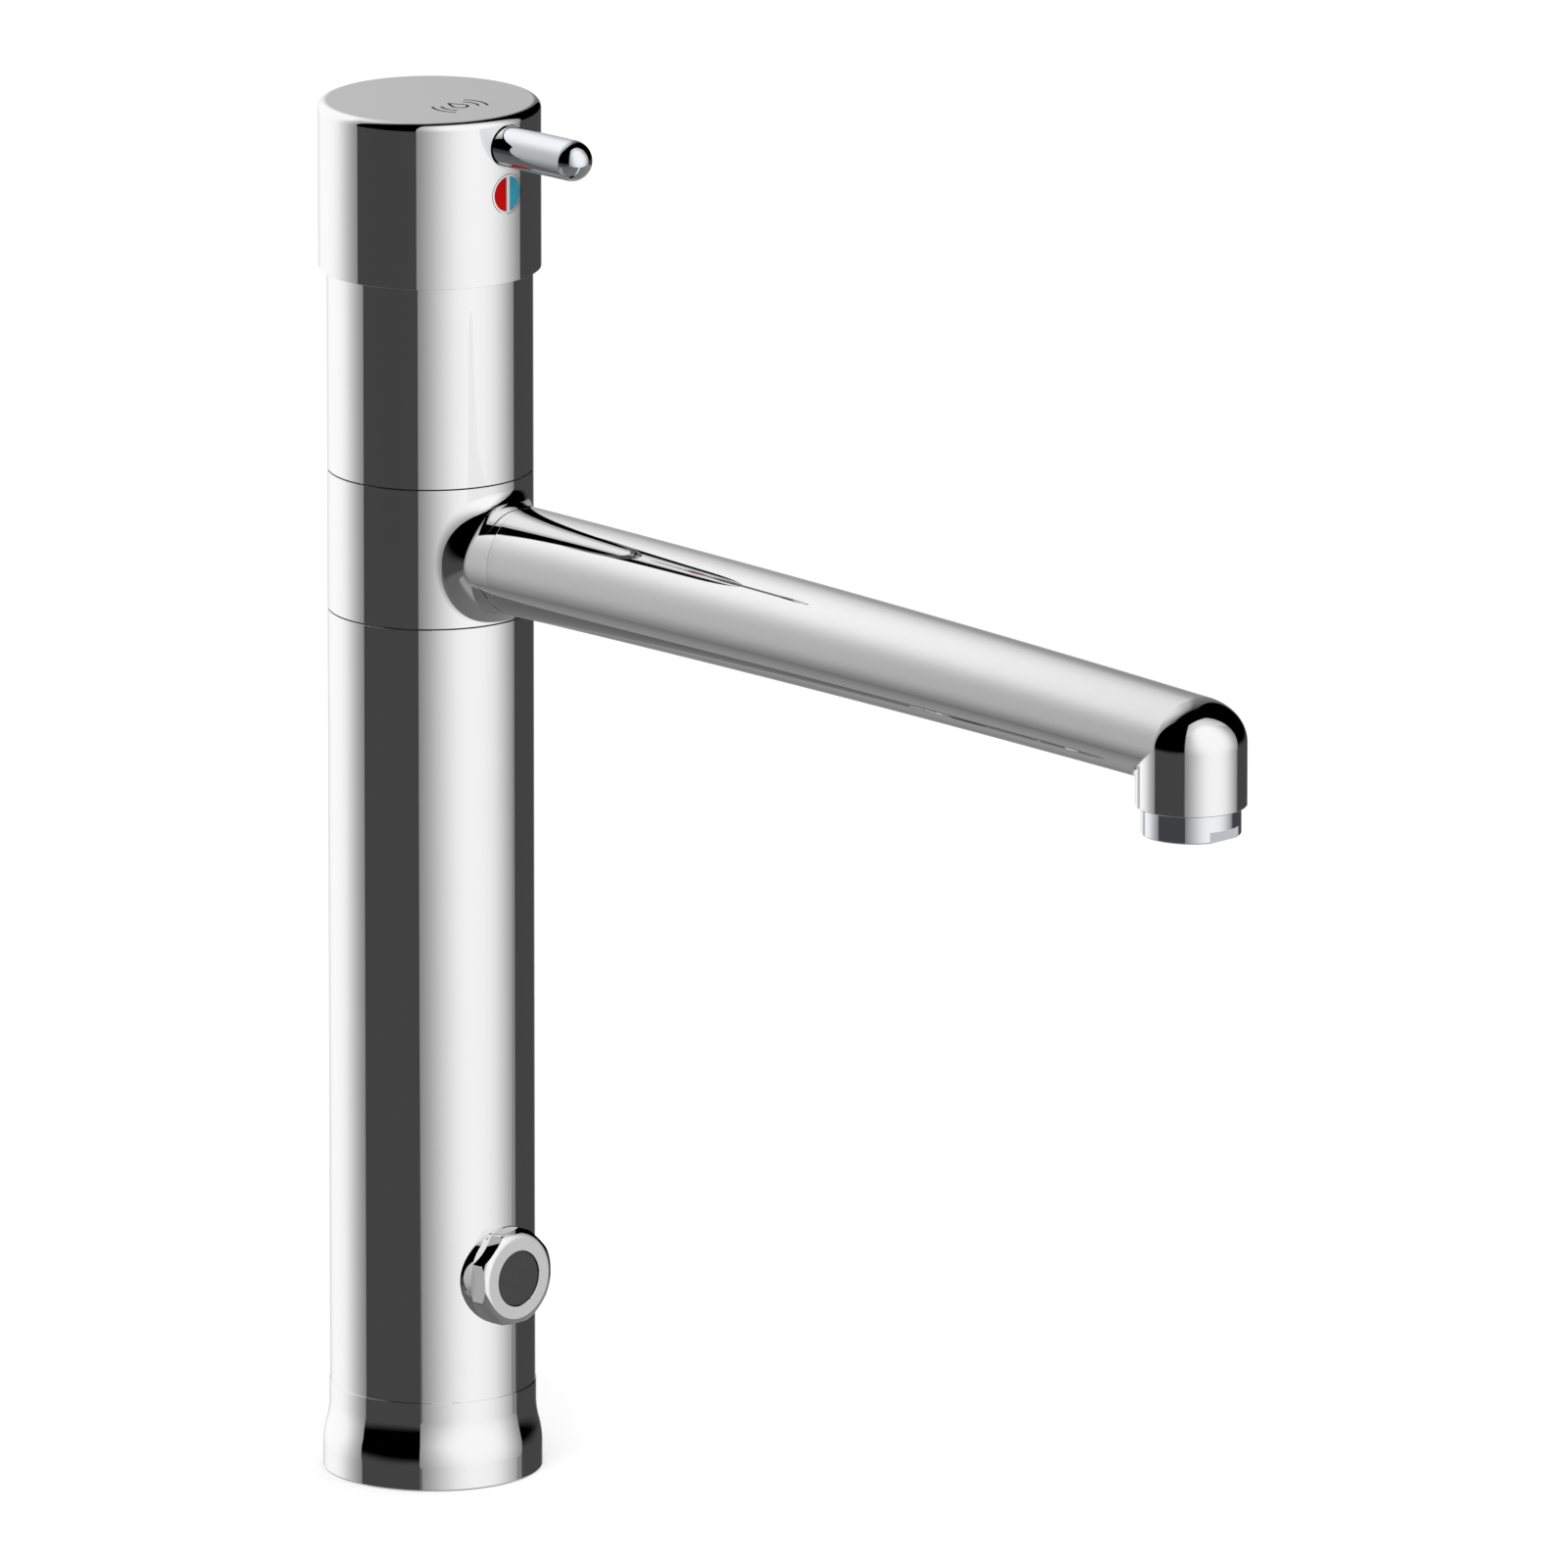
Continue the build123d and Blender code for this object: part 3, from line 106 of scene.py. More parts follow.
class Graph:
    # the nodes of one material, or of the world
    def __init__(self, owner):
        owner.use_nodes = True
        self.tree = owner.node_tree
        self.tree.nodes.clear()

    def node(self, kind, settings=None, sockets=None, output=0):
        made = self.tree.nodes.new(kind)
        for name, value in (settings or {}).items():
            setattr(made, name, value)
        for name, value in (sockets or {}).items():
            if isinstance(value, Wire):
                self.tree.links.new(value.socket, made.inputs[name])
            elif value is not None:
                made.inputs[name].default_value = value
        return Wire(self, made.outputs[output]) if made.outputs else made

    def place(self, stretch=(1, 1, 1), turn=(0, 0, 0)):
        # object coordinates, stretched and turned for a pattern
        spot = self.node("ShaderNodeTexCoord", output="Object")
        return self.node("ShaderNodeMapping", None, {"Vector": spot, "Scale": stretch, "Rotation": turn})

    def noise(self, spot, scale, detail=2.0, rough=0.5):
        return self.node("ShaderNodeTexNoise", None,
                         {"Vector": spot, "Scale": scale, "Detail": detail, "Roughness": rough}, "Fac")

    def blend(self, mask, first, second):
        return self.node("ShaderNodeMix", {"data_type": "RGBA"}, {0: mask, 6: first, 7: second}, 2)

    def bump(self, height, strength, distance):
        return self.node("ShaderNodeBump", None, {"Height": height, "Strength": strength, "Distance": distance})

    def finish(self, sockets):
        # the surface's own shader, wired to the output
        shader = self.node("ShaderNodeBsdfPrincipled", None, sockets)
        self.node("ShaderNodeOutputMaterial", None, {"Surface": shader})


def newMaterial(name):
    material = bpy.data.materials.new(name)
    return material, Graph(material)


def grey(level):
    return (level, level, level, 1.0)


chromePlate = {"colour": (0.83, 0.83, 0.83, 1), "hazy": (0.81, 0.81, 0.815, 1), "smoothest": 0.006,
               "duller": 0.012, "worn": 0.02, "hairWidth": 0.66}
# the lever and the aerator are a little cooler in tone
coolPlate = {"colour": (0.78, 0.805, 0.83, 1), "hazy": (0.76, 0.79, 0.82, 1), "smoothest": 0.008,
             "duller": 0.014, "worn": 0.02, "hairWidth": 0.66}


def makeChrome(name, plate):
    material, g = newMaterial(name)
    spot = g.place()
    haze = g.noise(spot, 90.0, 3.0).fade(0.45, 0.75)      # faint wiping marks, a centimetre across
    hairs = g.noise(g.place((1, 1, 18), (0.5, 0.3, 0)), 900.0, 2.0).fade(plate["hairWidth"], 0.74)
    cross = g.noise(g.place((14, 1, 1), (0.2, 0.9, 0.4)), 700.0, 2.0).fade(plate["hairWidth"] + 0.02, 0.76)
    worn = hairs.atLeast(cross)
    ripple = g.noise(spot, 55.0, 1.0)
    colour = g.blend(haze * 0.35, plate["colour"], plate["hazy"])
    g.finish({"Base Color": colour, "Metallic": 1.0,
              "Roughness": plate["smoothest"] + haze * plate["duller"] + worn * plate["worn"],
              "Normal": g.bump(ripple + worn * -0.02, 0.12, 0.00003)})
    return material


def makeMachined(name, colour, dull, smoothest, rings=1500.0):
    # turned metal: fine rings round the axis of the part, and slow staining
    material, g = newMaterial(name)
    spot = g.place()
    stain = g.noise(spot, 130.0, 4.0).fade(0.35, 0.7)
    lines = g.node("ShaderNodeTexWave", {"wave_type": "BANDS", "bands_direction": "Z"},
                   {"Vector": spot, "Scale": rings, "Distortion": 0.6, "Detail": 2.0}, "Fac")
    g.finish({"Base Color": g.blend(stain, colour, dull), "Metallic": 1.0,
              "Roughness": smoothest + stain * 0.14 + lines * 0.05,
              "Normal": g.bump(lines, 0.25, 0.00005)})
    return material


def makeMoulded(name, colour, other, rough, grain=2600.0, strength=0.3):
    # moulded plastic or rubber: an eroded grain, and a little variation in colour and gloss
    material, g = newMaterial(name)
    spot = g.place()
    cloud = g.noise(spot, 160.0, 3.0)
    pits = g.noise(spot, grain, 3.0, 0.6)
    g.finish({"Base Color": g.blend(cloud.fade(0.3, 0.7), colour, other),
              "Roughness": rough + pits * 0.12 + cloud * 0.06,
              "Normal": g.bump(pits, strength, 0.00008)})
    return material


def makeClear():
    material, g = newMaterial("clearLens")
    cloud = g.noise(g.place(), 500.0, 2.0)
    g.finish({"Base Color": g.blend(cloud, (0.5, 0.56, 0.66, 1), (0.6, 0.65, 0.72, 1)),
              "Roughness": 0.04 + cloud * 0.05, "Transmission Weight": 0.7, "IOR": 1.5})
    return material


def makeBoard():
    # solder mask over square tracks, with bright pads where the tracks meet
    material, g = newMaterial("circuitBoard")
    spot = g.place()
    tracks = g.node("ShaderNodeTexBrick", None,
                    {"Vector": spot, "Color1": grey(0), "Color2": grey(0.2), "Mortar": grey(1), "Scale": 420.0,
                     "Mortar Size": 0.06, "Mortar Smooth": 0.3, "Brick Width": 0.8, "Row Height": 0.45}, "Fac")
    pads = 1 - g.node("ShaderNodeTexVoronoi", None, {"Vector": spot, "Scale": 520.0}).fade(0.16, 0.22)
    mask = g.blend(tracks, (0.04, 0.22, 0.1, 1), (0.06, 0.32, 0.15, 1))
    g.finish({"Base Color": g.blend(pads, mask, (0.75, 0.62, 0.35, 1)), "Metallic": pads * 0.9,
              "Roughness": 0.38 - pads * 0.1, "Normal": g.bump(tracks + pads, 0.4, 0.00004)})
    return material


def makeWindow():
    # dark filter: nearly black, with the faintest cloud and a polished face
    material, g = newMaterial("sensorWindow")
    spot = g.place()
    cloud = g.noise(spot, 300.0, 3.0)
    hairs = g.noise(g.place((1, 1, 20), (0, 0.6, 0)), 1500.0).fade(0.68, 0.76)
    g.finish({"Base Color": g.blend(cloud, (0.030, 0.030, 0.033, 1), (0.038, 0.038, 0.04, 1)),
              "Roughness": 0.05 + cloud * 0.03 + hairs * 0.08, "IOR": 1.49})
    return material


def makeCeramic():
    material, g = newMaterial("ceramic")
    spot = g.place()
    specks = g.noise(spot, 2200.0, 2.0).fade(0.66, 0.72)
    cloud = g.noise(spot, 140.0, 3.0)
    g.finish({"Base Color": g.blend(specks, g.blend(cloud, (0.87, 0.86, 0.83, 1), (0.83, 0.82, 0.78, 1)),
                                    (0.62, 0.6, 0.55, 1)),
              "Roughness": 0.16 + cloud * 0.12, "Normal": g.bump(specks, -0.2, 0.00002)})
    return material


def makeBlackGroove():
    # floor and sides of the engraved mark: coloured nearly black, with a fine uneven tooth
    material, g = newMaterial("blackGroove")
    spot = g.place()
    tooth = g.noise(spot, 5200.0, 3.0, 0.6)
    cloud = g.noise(spot, 700.0, 2.0)
    g.finish({"Base Color": g.blend(cloud.fade(0.3, 0.7), grey(0.012), grey(0.02)), "Specular IOR Level": 0.1,
              "Roughness": 0.55 + tooth * 0.2, "Normal": g.bump(tooth, 0.3, 0.00002)})
    return material


def makeEnamel(name, colour, deeper):
    # poured inlay: deeper towards cloudy spots, with the slight orange peel of enamel
    material, g = newMaterial(name)
    spot = g.place()
    cloud = g.noise(spot, 420.0, 3.0)
    peel = g.noise(spot, 1500.0, 1.0)
    g.finish({"Base Color": g.blend(cloud.fade(0.3, 0.75), colour, deeper), "Roughness": 0.4 + cloud * 0.1,
              "Specular IOR Level": 0.05, "Normal": g.bump(peel, 0.15, 0.00005)})
    return material


finishes = {
    "chrome": makeChrome("chrome", chromePlate),
    "coolChrome": makeChrome("coolChrome", coolPlate),
    "brass": makeMachined("brass", (0.72, 0.56, 0.3, 1), (0.56, 0.4, 0.19, 1), 0.22),
    "copper": makeMachined("copper", (0.72, 0.42, 0.28, 1), (0.5, 0.24, 0.14, 1), 0.24, 300.0),
    "steel": makeMachined("steel", (0.6, 0.6, 0.61, 1), (0.5, 0.5, 0.52, 1), 0.25),
    "rubber": makeMoulded("rubber", (0.05, 0.05, 0.05, 1), (0.035, 0.035, 0.037, 1), 0.62, 3000.0, 0.4),
    "black_plastic": makeMoulded("blackPlastic", (0.06, 0.06, 0.065, 1), (0.045, 0.045, 0.05, 1), 0.42),
    "white_plastic": makeMoulded("whitePlastic", (0.78, 0.78, 0.76, 1), (0.73, 0.73, 0.7, 1), 0.36),
    "clear_plastic": makeClear(),
    "circuit_board": makeBoard(),
    "sensor_window": makeWindow(),
    "ceramic": makeCeramic(),
    "red_enamel": makeEnamel("redEnamel", (0.54, 0.001, 0.001, 1), (0.5, 0.001, 0.001, 1)),
    "blue_enamel": makeEnamel("blueEnamel", (0.038, 0.297, 0.415, 1), (0.034, 0.275, 0.39, 1)),
    "cable": makeMoulded("cableSheath", (0.06, 0.06, 0.065, 1), (0.045, 0.045, 0.05, 1), 0.5, 1800.0, 0.35),
}
for entry in frame["record"]["subparts"]:
    shape = nodes[entry["node"]].data
    shape.materials.clear()
    shape.materials.append(finishes[entry["material_slot"]])
print("finishes made:", len(finishes))


weld = 1e-4     # vertices closer than this are one
overcut = 1     # how far a cutter passes the face that it opens


def arc(centre, radius, first, last, steps):
    # points of an outline's arc, between two angles in degrees
    angles = [radians(first + (last - first) * i / steps) for i in range(steps + 1)]
    return [(centre[0] + radius * cos(a), centre[1] + radius * sin(a)) for a in angles]


def shift(solid, angle, axis, at):
    # turned about an axis, then moved
    bmesh.ops.rotate(solid, cent=(0, 0, 0), matrix=Matrix.Rotation(angle, 3, axis), verts=solid.verts)
    bmesh.ops.translate(solid, vec=at, verts=solid.verts)


def turned(outline, closed=True, steps=256, lying=False, at=(0, 0, 0)):
    # an outline of radius and height spun into a solid; lying turns its axis from +Z to -Y
    solid = bmesh.new()
    spots = [solid.verts.new((r, 0, h)) for r, h in outline]
    pairs = zip(spots, spots[1:] + spots[:1] if closed else spots[1:])
    rim = [solid.edges.new(pair) for pair in pairs]
    bmesh.ops.spin(solid, geom=spots + rim, cent=(0, 0, 0), axis=(0, 0, 1), angle=2 * pi, steps=steps,
                   use_merge=True)
    bmesh.ops.remove_doubles(solid, verts=solid.verts, dist=weld)
    bmesh.ops.recalc_face_normals(solid, faces=solid.faces)
    shift(solid, pi / 2 if lying else 0, "X", at)
    return solid


def rod(radius, low, high, lying=False, at=(0, 0, 0), steps=128):
    return turned([(0, low), (radius, low), (radius, high), (0, high)], False, steps, lying, at)


def curvedBlock(inner, outer, low, high, first, sweep, steps):
    # a block curved about the column's axis, from one angle on through a sweep
    block = bmesh.new()
    spots = ((inner, 0, low), (outer, 0, low), (outer, 0, high), (inner, 0, high))
    side = block.faces.new([block.verts.new(spot) for spot in spots])
    shift(block, radians(first), "Z", (0, 0, 0))
    bmesh.ops.spin(block, geom=[side] + list(side.edges) + list(side.verts), cent=(0, 0, 0), axis=(0, 0, 1),
                   angle=radians(sweep), steps=steps)
    bmesh.ops.recalc_face_normals(block, faces=block.faces)
    return block


def asPiece(solid, name):
    shape = bpy.data.meshes.new(name)
    solid.to_mesh(shape)
    solid.free()
    piece = bpy.data.objects.new(name, shape)
    bpy.context.scene.collection.objects.link(piece)
    return piece


def combine(piece, tool, operation="DIFFERENCE"):
    cutter = asPiece(tool, "cutter")
    change = piece.modifiers.new("combine", "BOOLEAN")
    change.operation, change.solver, change.object = operation, "EXACT", cutter
    result = bpy.data.meshes.new_from_object(piece.evaluated_get(bpy.context.evaluated_depsgraph_get()))
    piece.modifiers.clear()
    old, piece.data = piece.data, result
    bpy.data.meshes.remove(old)
    result.name = piece.name
    bpy.data.meshes.remove(cutter.data)


def straightOut(point, centre, axis):
    # from a line along the axis through the centre, straight out to the point
    out = Vector([point[i] - centre[i] for i in range(3)])
    out[axis] = 0
    return out


def roundZ(radius, y=0):
    # a round skin about an upright axis, and the direction that it faces at a point
    def skin(point):
        out = straightOut(point, (0, y, 0), 2)
        return out.length - radius, out.normalized()
    return skin


def roundY(radius, height):
    # the same, about an axis towards the user
    def skin(point):
        out = straightOut(point, (0, 0, height), 1)
        return out.length - radius, out.normalized()
    return skin


def bead(ringRadius, radius, axis, centre):
    # a rounded edge about an axis
    def skin(point):
        middle = straightOut(point, centre, axis).normalized() * ringRadius + Vector(centre)
        return (point - middle).length - radius, (point - middle).normalized()
    return skin


def trueNormals(piece, skins=(), storedTurn=0.6, skinTurn=0.985, onSkin=0.01):
    # each corner takes its stored direction, or that of the skin that it lies on, or else its face's own
    shape = piece.data
    facing = shape.attributes.get("facing")
    directions = [None] * len(shape.loops)
    for face in shape.polygons:
        face.use_smooth = True
        for corner in face.loop_indices:
            index = shape.loops[corner].vertex_index
            point = shape.vertices[index].co
            best, match = face.normal, skinTurn
            if facing is not None and facing.data[index].vector.dot(face.normal) > storedTurn:
                best, match = facing.data[index].vector, 2
            for skin in skins:
                gap, out = skin(point)
                likeness = out.dot(face.normal)
                if abs(gap) < onSkin and abs(likeness) > match:
                    best, match = out * (1 if likeness > 0 else -1), abs(likeness)
            directions[corner] = Vector(best)
    if facing is not None:
        shape.attributes.remove(facing)
    if shape.attributes.get("turn") is not None:
        shape.attributes.remove(shape.attributes["turn"])
    shape.normals_split_custom_set(directions)


def softShade(piece, angle=30):
    # smooth between gentle faces, sharp elsewhere, and flat where a face is large
    for face in piece.data.polygons:
        face.use_smooth = True
    piece.data.set_sharp_from_angle(angle=radians(angle))
    weigh = piece.modifiers.new("weigh", "WEIGHTED_NORMAL")
    weigh.keep_sharp = True


def settle(piece, slotName, body, *replaced):
    piece.data.transform(Matrix.Scale(0.001, 4))
    piece.data.materials.clear()
    piece.data.materials.append(finishes[slotName])
    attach(piece, body)
    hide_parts(*replaced)
    return piece


foot = {"rim": 26.7, "rimHeight": 5.6, "neck": 25.2, "neckStart": 16.7, "top": 21.6, "bore": 22.5,
        "sweep": 20.91, "sweepTurn": 15.39, "sweepSteps": 14, "edge": 0.06, "rimEdge": 0.2, "grooveIn": 23.65,
        "grooveOut": 25.55, "grooveTop": 2.0}


def makeFoot():
    sweep, turn, steps, edge = foot["sweep"], foot["sweepTurn"], foot["sweepSteps"], foot["rimEdge"]
    lowArc = arc((foot["rim"] - sweep, foot["rimHeight"]), sweep, 0, turn, steps)
    highArc = arc((foot["neck"] + sweep, foot["neckStart"]), sweep, 180 + turn, 180, steps)
    outline = ([(foot["bore"], 0), (foot["grooveIn"], 0), (foot["grooveIn"], foot["grooveTop"]),
                (foot["grooveOut"], foot["grooveTop"]), (foot["grooveOut"], 0), (foot["rim"] - edge, 0),
                (foot["rim"], edge)] + lowArc + highArc[1:]
               + [(foot["neck"], foot["top"] - foot["edge"]), (foot["neck"] - foot["edge"], foot["top"]),
                  (foot["bore"], foot["top"])])
    piece = asPiece(turned(outline, steps=384), "footFlange")
    softShade(piece)
    settle(piece, "chrome", "column", "base_flange")


column = {"radius": 25.0, "bore": 22.5, "low": foot["top"], "seam": 215.0, "ringTop": 250.0,
          "sensorHole": 8.95, "sensorHeight": 52.0, "holeFrom": 10, "holeTo": 40, "edge": 0.04}


def makeColumn():
    edge, radius, bore = column["edge"], column["radius"], column["bore"]
    lower = [(bore, column["low"]), (radius, column["low"]), (radius, column["seam"] - edge),
             (radius - edge, column["seam"]), (bore, column["seam"])]
    piece = asPiece(turned(lower, steps=384), "lowerColumn")
    combine(piece, rod(column["sensorHole"], column["holeFrom"], column["holeTo"], True,
                       (0, 0, column["sensorHeight"])))
    trueNormals(piece, [roundZ(radius), roundZ(bore), roundY(column["sensorHole"], column["sensorHeight"])])
    settle(piece, "chrome", "column", "lower_column")
    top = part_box("upper_column")[1].z * 1000
    upper = [(bore, column["ringTop"]), (radius - edge, column["ringTop"]), (radius, column["ringTop"] + edge),
             (radius, top), (bore, top)]
    piece = asPiece(turned(upper, steps=384), "upperColumn")
    softShade(piece)
    settle(piece, "chrome", "column", "upper_column")


sensor = {"height": column["sensorHeight"], "face": 30.0, "faceRadius": 9.9, "nutRadius": 12.1, "nutBack": 25.4,
          "flats": 8, "round": 2.3125, "roundEnd": 17.96, "hole": 6.9, "holeEdge": 0.08, "lip": 28.5,
          "thread": column["sensorHole"], "flatEdge": 0.18, "spare": 0.4, "collarStart": 15, "collarEdge": 0.15,
          "gap": 0.05, "window": 6.85, "windowBack": 27.3, "windowRound": 0.25, "recess": 0.3}


def makeSensor():
    height, face, nutRadius, nutBack = sensor["height"], sensor["face"], sensor["nutRadius"], sensor["nutBack"]
    hole, thread, lip, spare = sensor["hole"], sensor["thread"], sensor["lip"], sensor["spare"]
    front = arc((sensor["faceRadius"], face - sensor["round"]), sensor["round"], 90, sensor["roundEnd"], 10)
    outline = ([(hole, face - sensor["holeEdge"]), (hole + sensor["holeEdge"], face)] + front
               + [(nutRadius + spare, front[-1][1] - spare), (nutRadius + spare, nutBack - overcut),
                  (thread, nutBack - overcut), (thread, lip), (hole, lip)])
    nut = asPiece(turned(outline, lying=True, at=(0, 0, height)), "sensorNut")
    prism = bmesh.new()
    bmesh.ops.create_cone(prism, cap_ends=True, segments=sensor["flats"], radius1=nutRadius, radius2=nutRadius,
                          depth=2 * (face + overcut - nutBack))
    shift(prism, pi / sensor["flats"], "Z", (0, 0, 0))
    upright = [edge for edge in prism.edges if abs(edge.verts[0].co.z - edge.verts[1].co.z) > 1]
    bmesh.ops.bevel(prism, geom=upright, offset=sensor["flatEdge"], offset_type="OFFSET", segments=3, profile=0.5,
                    affect="EDGES", material=-1)
    shift(prism, pi / 2, "X", (0, -face, height))
    combine(nut, prism, "INTERSECT")
    trueNormals(nut, [bead(sensor["faceRadius"], sensor["round"], 1, (0, sensor["round"] - face, height)),
                      roundY(hole, height), roundY(thread, height)])
    settle(nut, "chrome", "column", "sensor_nut")

    start, edge, seat = sensor["collarStart"], sensor["collarEdge"], column["radius"] + sensor["gap"]
    collar = asPiece(turned([(thread, start), (thread, nutBack), (nutRadius - edge, nutBack),
                             (nutRadius, nutBack - edge), (nutRadius, start)], lying=True, at=(0, 0, height)),
                     "sensorCollar")
    combine(collar, rod(seat, 20, 90, steps=384))
    trueNormals(collar, [roundY(nutRadius, height), roundY(thread, height), roundZ(seat)])
    settle(collar, "chrome", "column", "sensor_collar")

    glass, flange, back = sensor["window"], thread - sensor["gap"], sensor["windowBack"]
    front, edge = face - sensor["recess"], sensor["windowRound"]
    window = asPiece(turned([(0, back), (flange, back), (flange, lip), (glass, lip)]
                            + arc((glass - edge, front - edge), edge, 0, 90, 6) + [(0, front)],
                            False, lying=True, at=(0, 0, height)), "sensorWindow")
    softShade(window)
    settle(window, "sensor_window", "column", "sensor_window")


ring = {"radius": 25.0, "bore": 20.0, "low": 215.35, "high": 249.65, "edge": 0.04, "rimBand": 0.095,
        "neckRadius": 13.4034, "neckHeight": 231.66756, "neckReach": 33.0, "neckEdge": 0.05, "fillet": 2.8,
        "sideFillet": 10.0, "filletSteps": 16, "port": 4.5, "wall": 2.5, "wallStart": 24.0,
        "steps": 384, "cutSteps": 52, "neckSteps": 256, "grooveOut": 24.45, "grooveIn": 22.95, "grooveDepth": 0.7,
        "slotIn": 19, "slotOut": 22.3, "slotDepth": 3.45, "slotFrom": 26.5, "slotSweep": 127}


def openSides(solid):
    return [edge for edge in solid.edges if len(edge.link_faces) == 1]


def pull(solid, rim, spot):
    # extrudes an open rim; spot gives each new vertex its place, and its direction where it has one
    turn, facing = solid.verts.layers.float["turn"], solid.verts.layers.float_vector["facing"]
    made = bmesh.ops.extrude_edge_only(solid, edges=rim)["geom"]
    fresh = set(item for item in made if isinstance(item, bmesh.types.BMVert))
    for vert in fresh:
        vert.co, vert[facing] = spot(vert[turn])
    return [item for item in made if isinstance(item, bmesh.types.BMEdge) and set(item.verts) <= fresh]


def holedSleeve(radius, low, high, hole):
    # a round skin with a hole towards -Y: a flat patch cut into strips and rolled up, then spun round to its start
    sheet = bmesh.new()
    half = 2 * pi * radius * ring["cutSteps"] / ring["steps"]
    corners = ((-half, 0, low), (half, 0, low), (half, 0, high), (-half, 0, high))
    border = [sheet.verts.new(spot) for spot in corners]
    inner = [sheet.verts.new((radius * atan2(spot.x, -spot.y), 0, spot.z)) for spot in hole]
    sides = [sheet.edges.new((loop[i - 1], loop[i])) for loop in (border, inner) for i in range(len(loop))]
    bmesh.ops.triangle_fill(sheet, edges=sides, use_beauty=True, normal=(0, -1, 0))
    for i in range(1, 2 * ring["cutSteps"]):
        cut = half * (i / ring["cutSteps"] - 1)
        crossed = [face for face in sheet.faces if min(vert.co.x for vert in face.verts) < cut - 1e-5
                   and max(vert.co.x for vert in face.verts) > cut + 1e-5]
        parts = set(crossed)
        for face in crossed:
            parts.update(face.edges)
            parts.update(face.verts)
        bmesh.ops.bisect_plane(sheet, geom=list(parts), dist=1e-5, plane_co=(cut, 0, 0), plane_no=(1, 0, 0))
    last = [edge for edge in sheet.edges if min(vert.co.x for vert in edge.verts) > half - 1e-4]
    for vert in sheet.verts:
        angle = vert.co.x / radius
        vert.co = (radius * sin(angle), -radius * cos(angle), vert.co.z)
    left = ring["steps"] - 2 * ring["cutSteps"]
    bmesh.ops.spin(sheet, geom=last + list(set(vert for edge in last for vert in edge.verts)), cent=(0, 0, 0),
                   axis=(0, 0, 1), angle=2 * pi * left / ring["steps"], steps=left)
    bmesh.ops.remove_doubles(sheet, verts=sheet.verts, dist=weld)
    return sheet


def filletAt(angle):
    # the neck's root is wide at the sides and narrow above and below
    return ring["fillet"] + (ring["sideFillet"] - ring["fillet"]) * cos(angle) ** 2


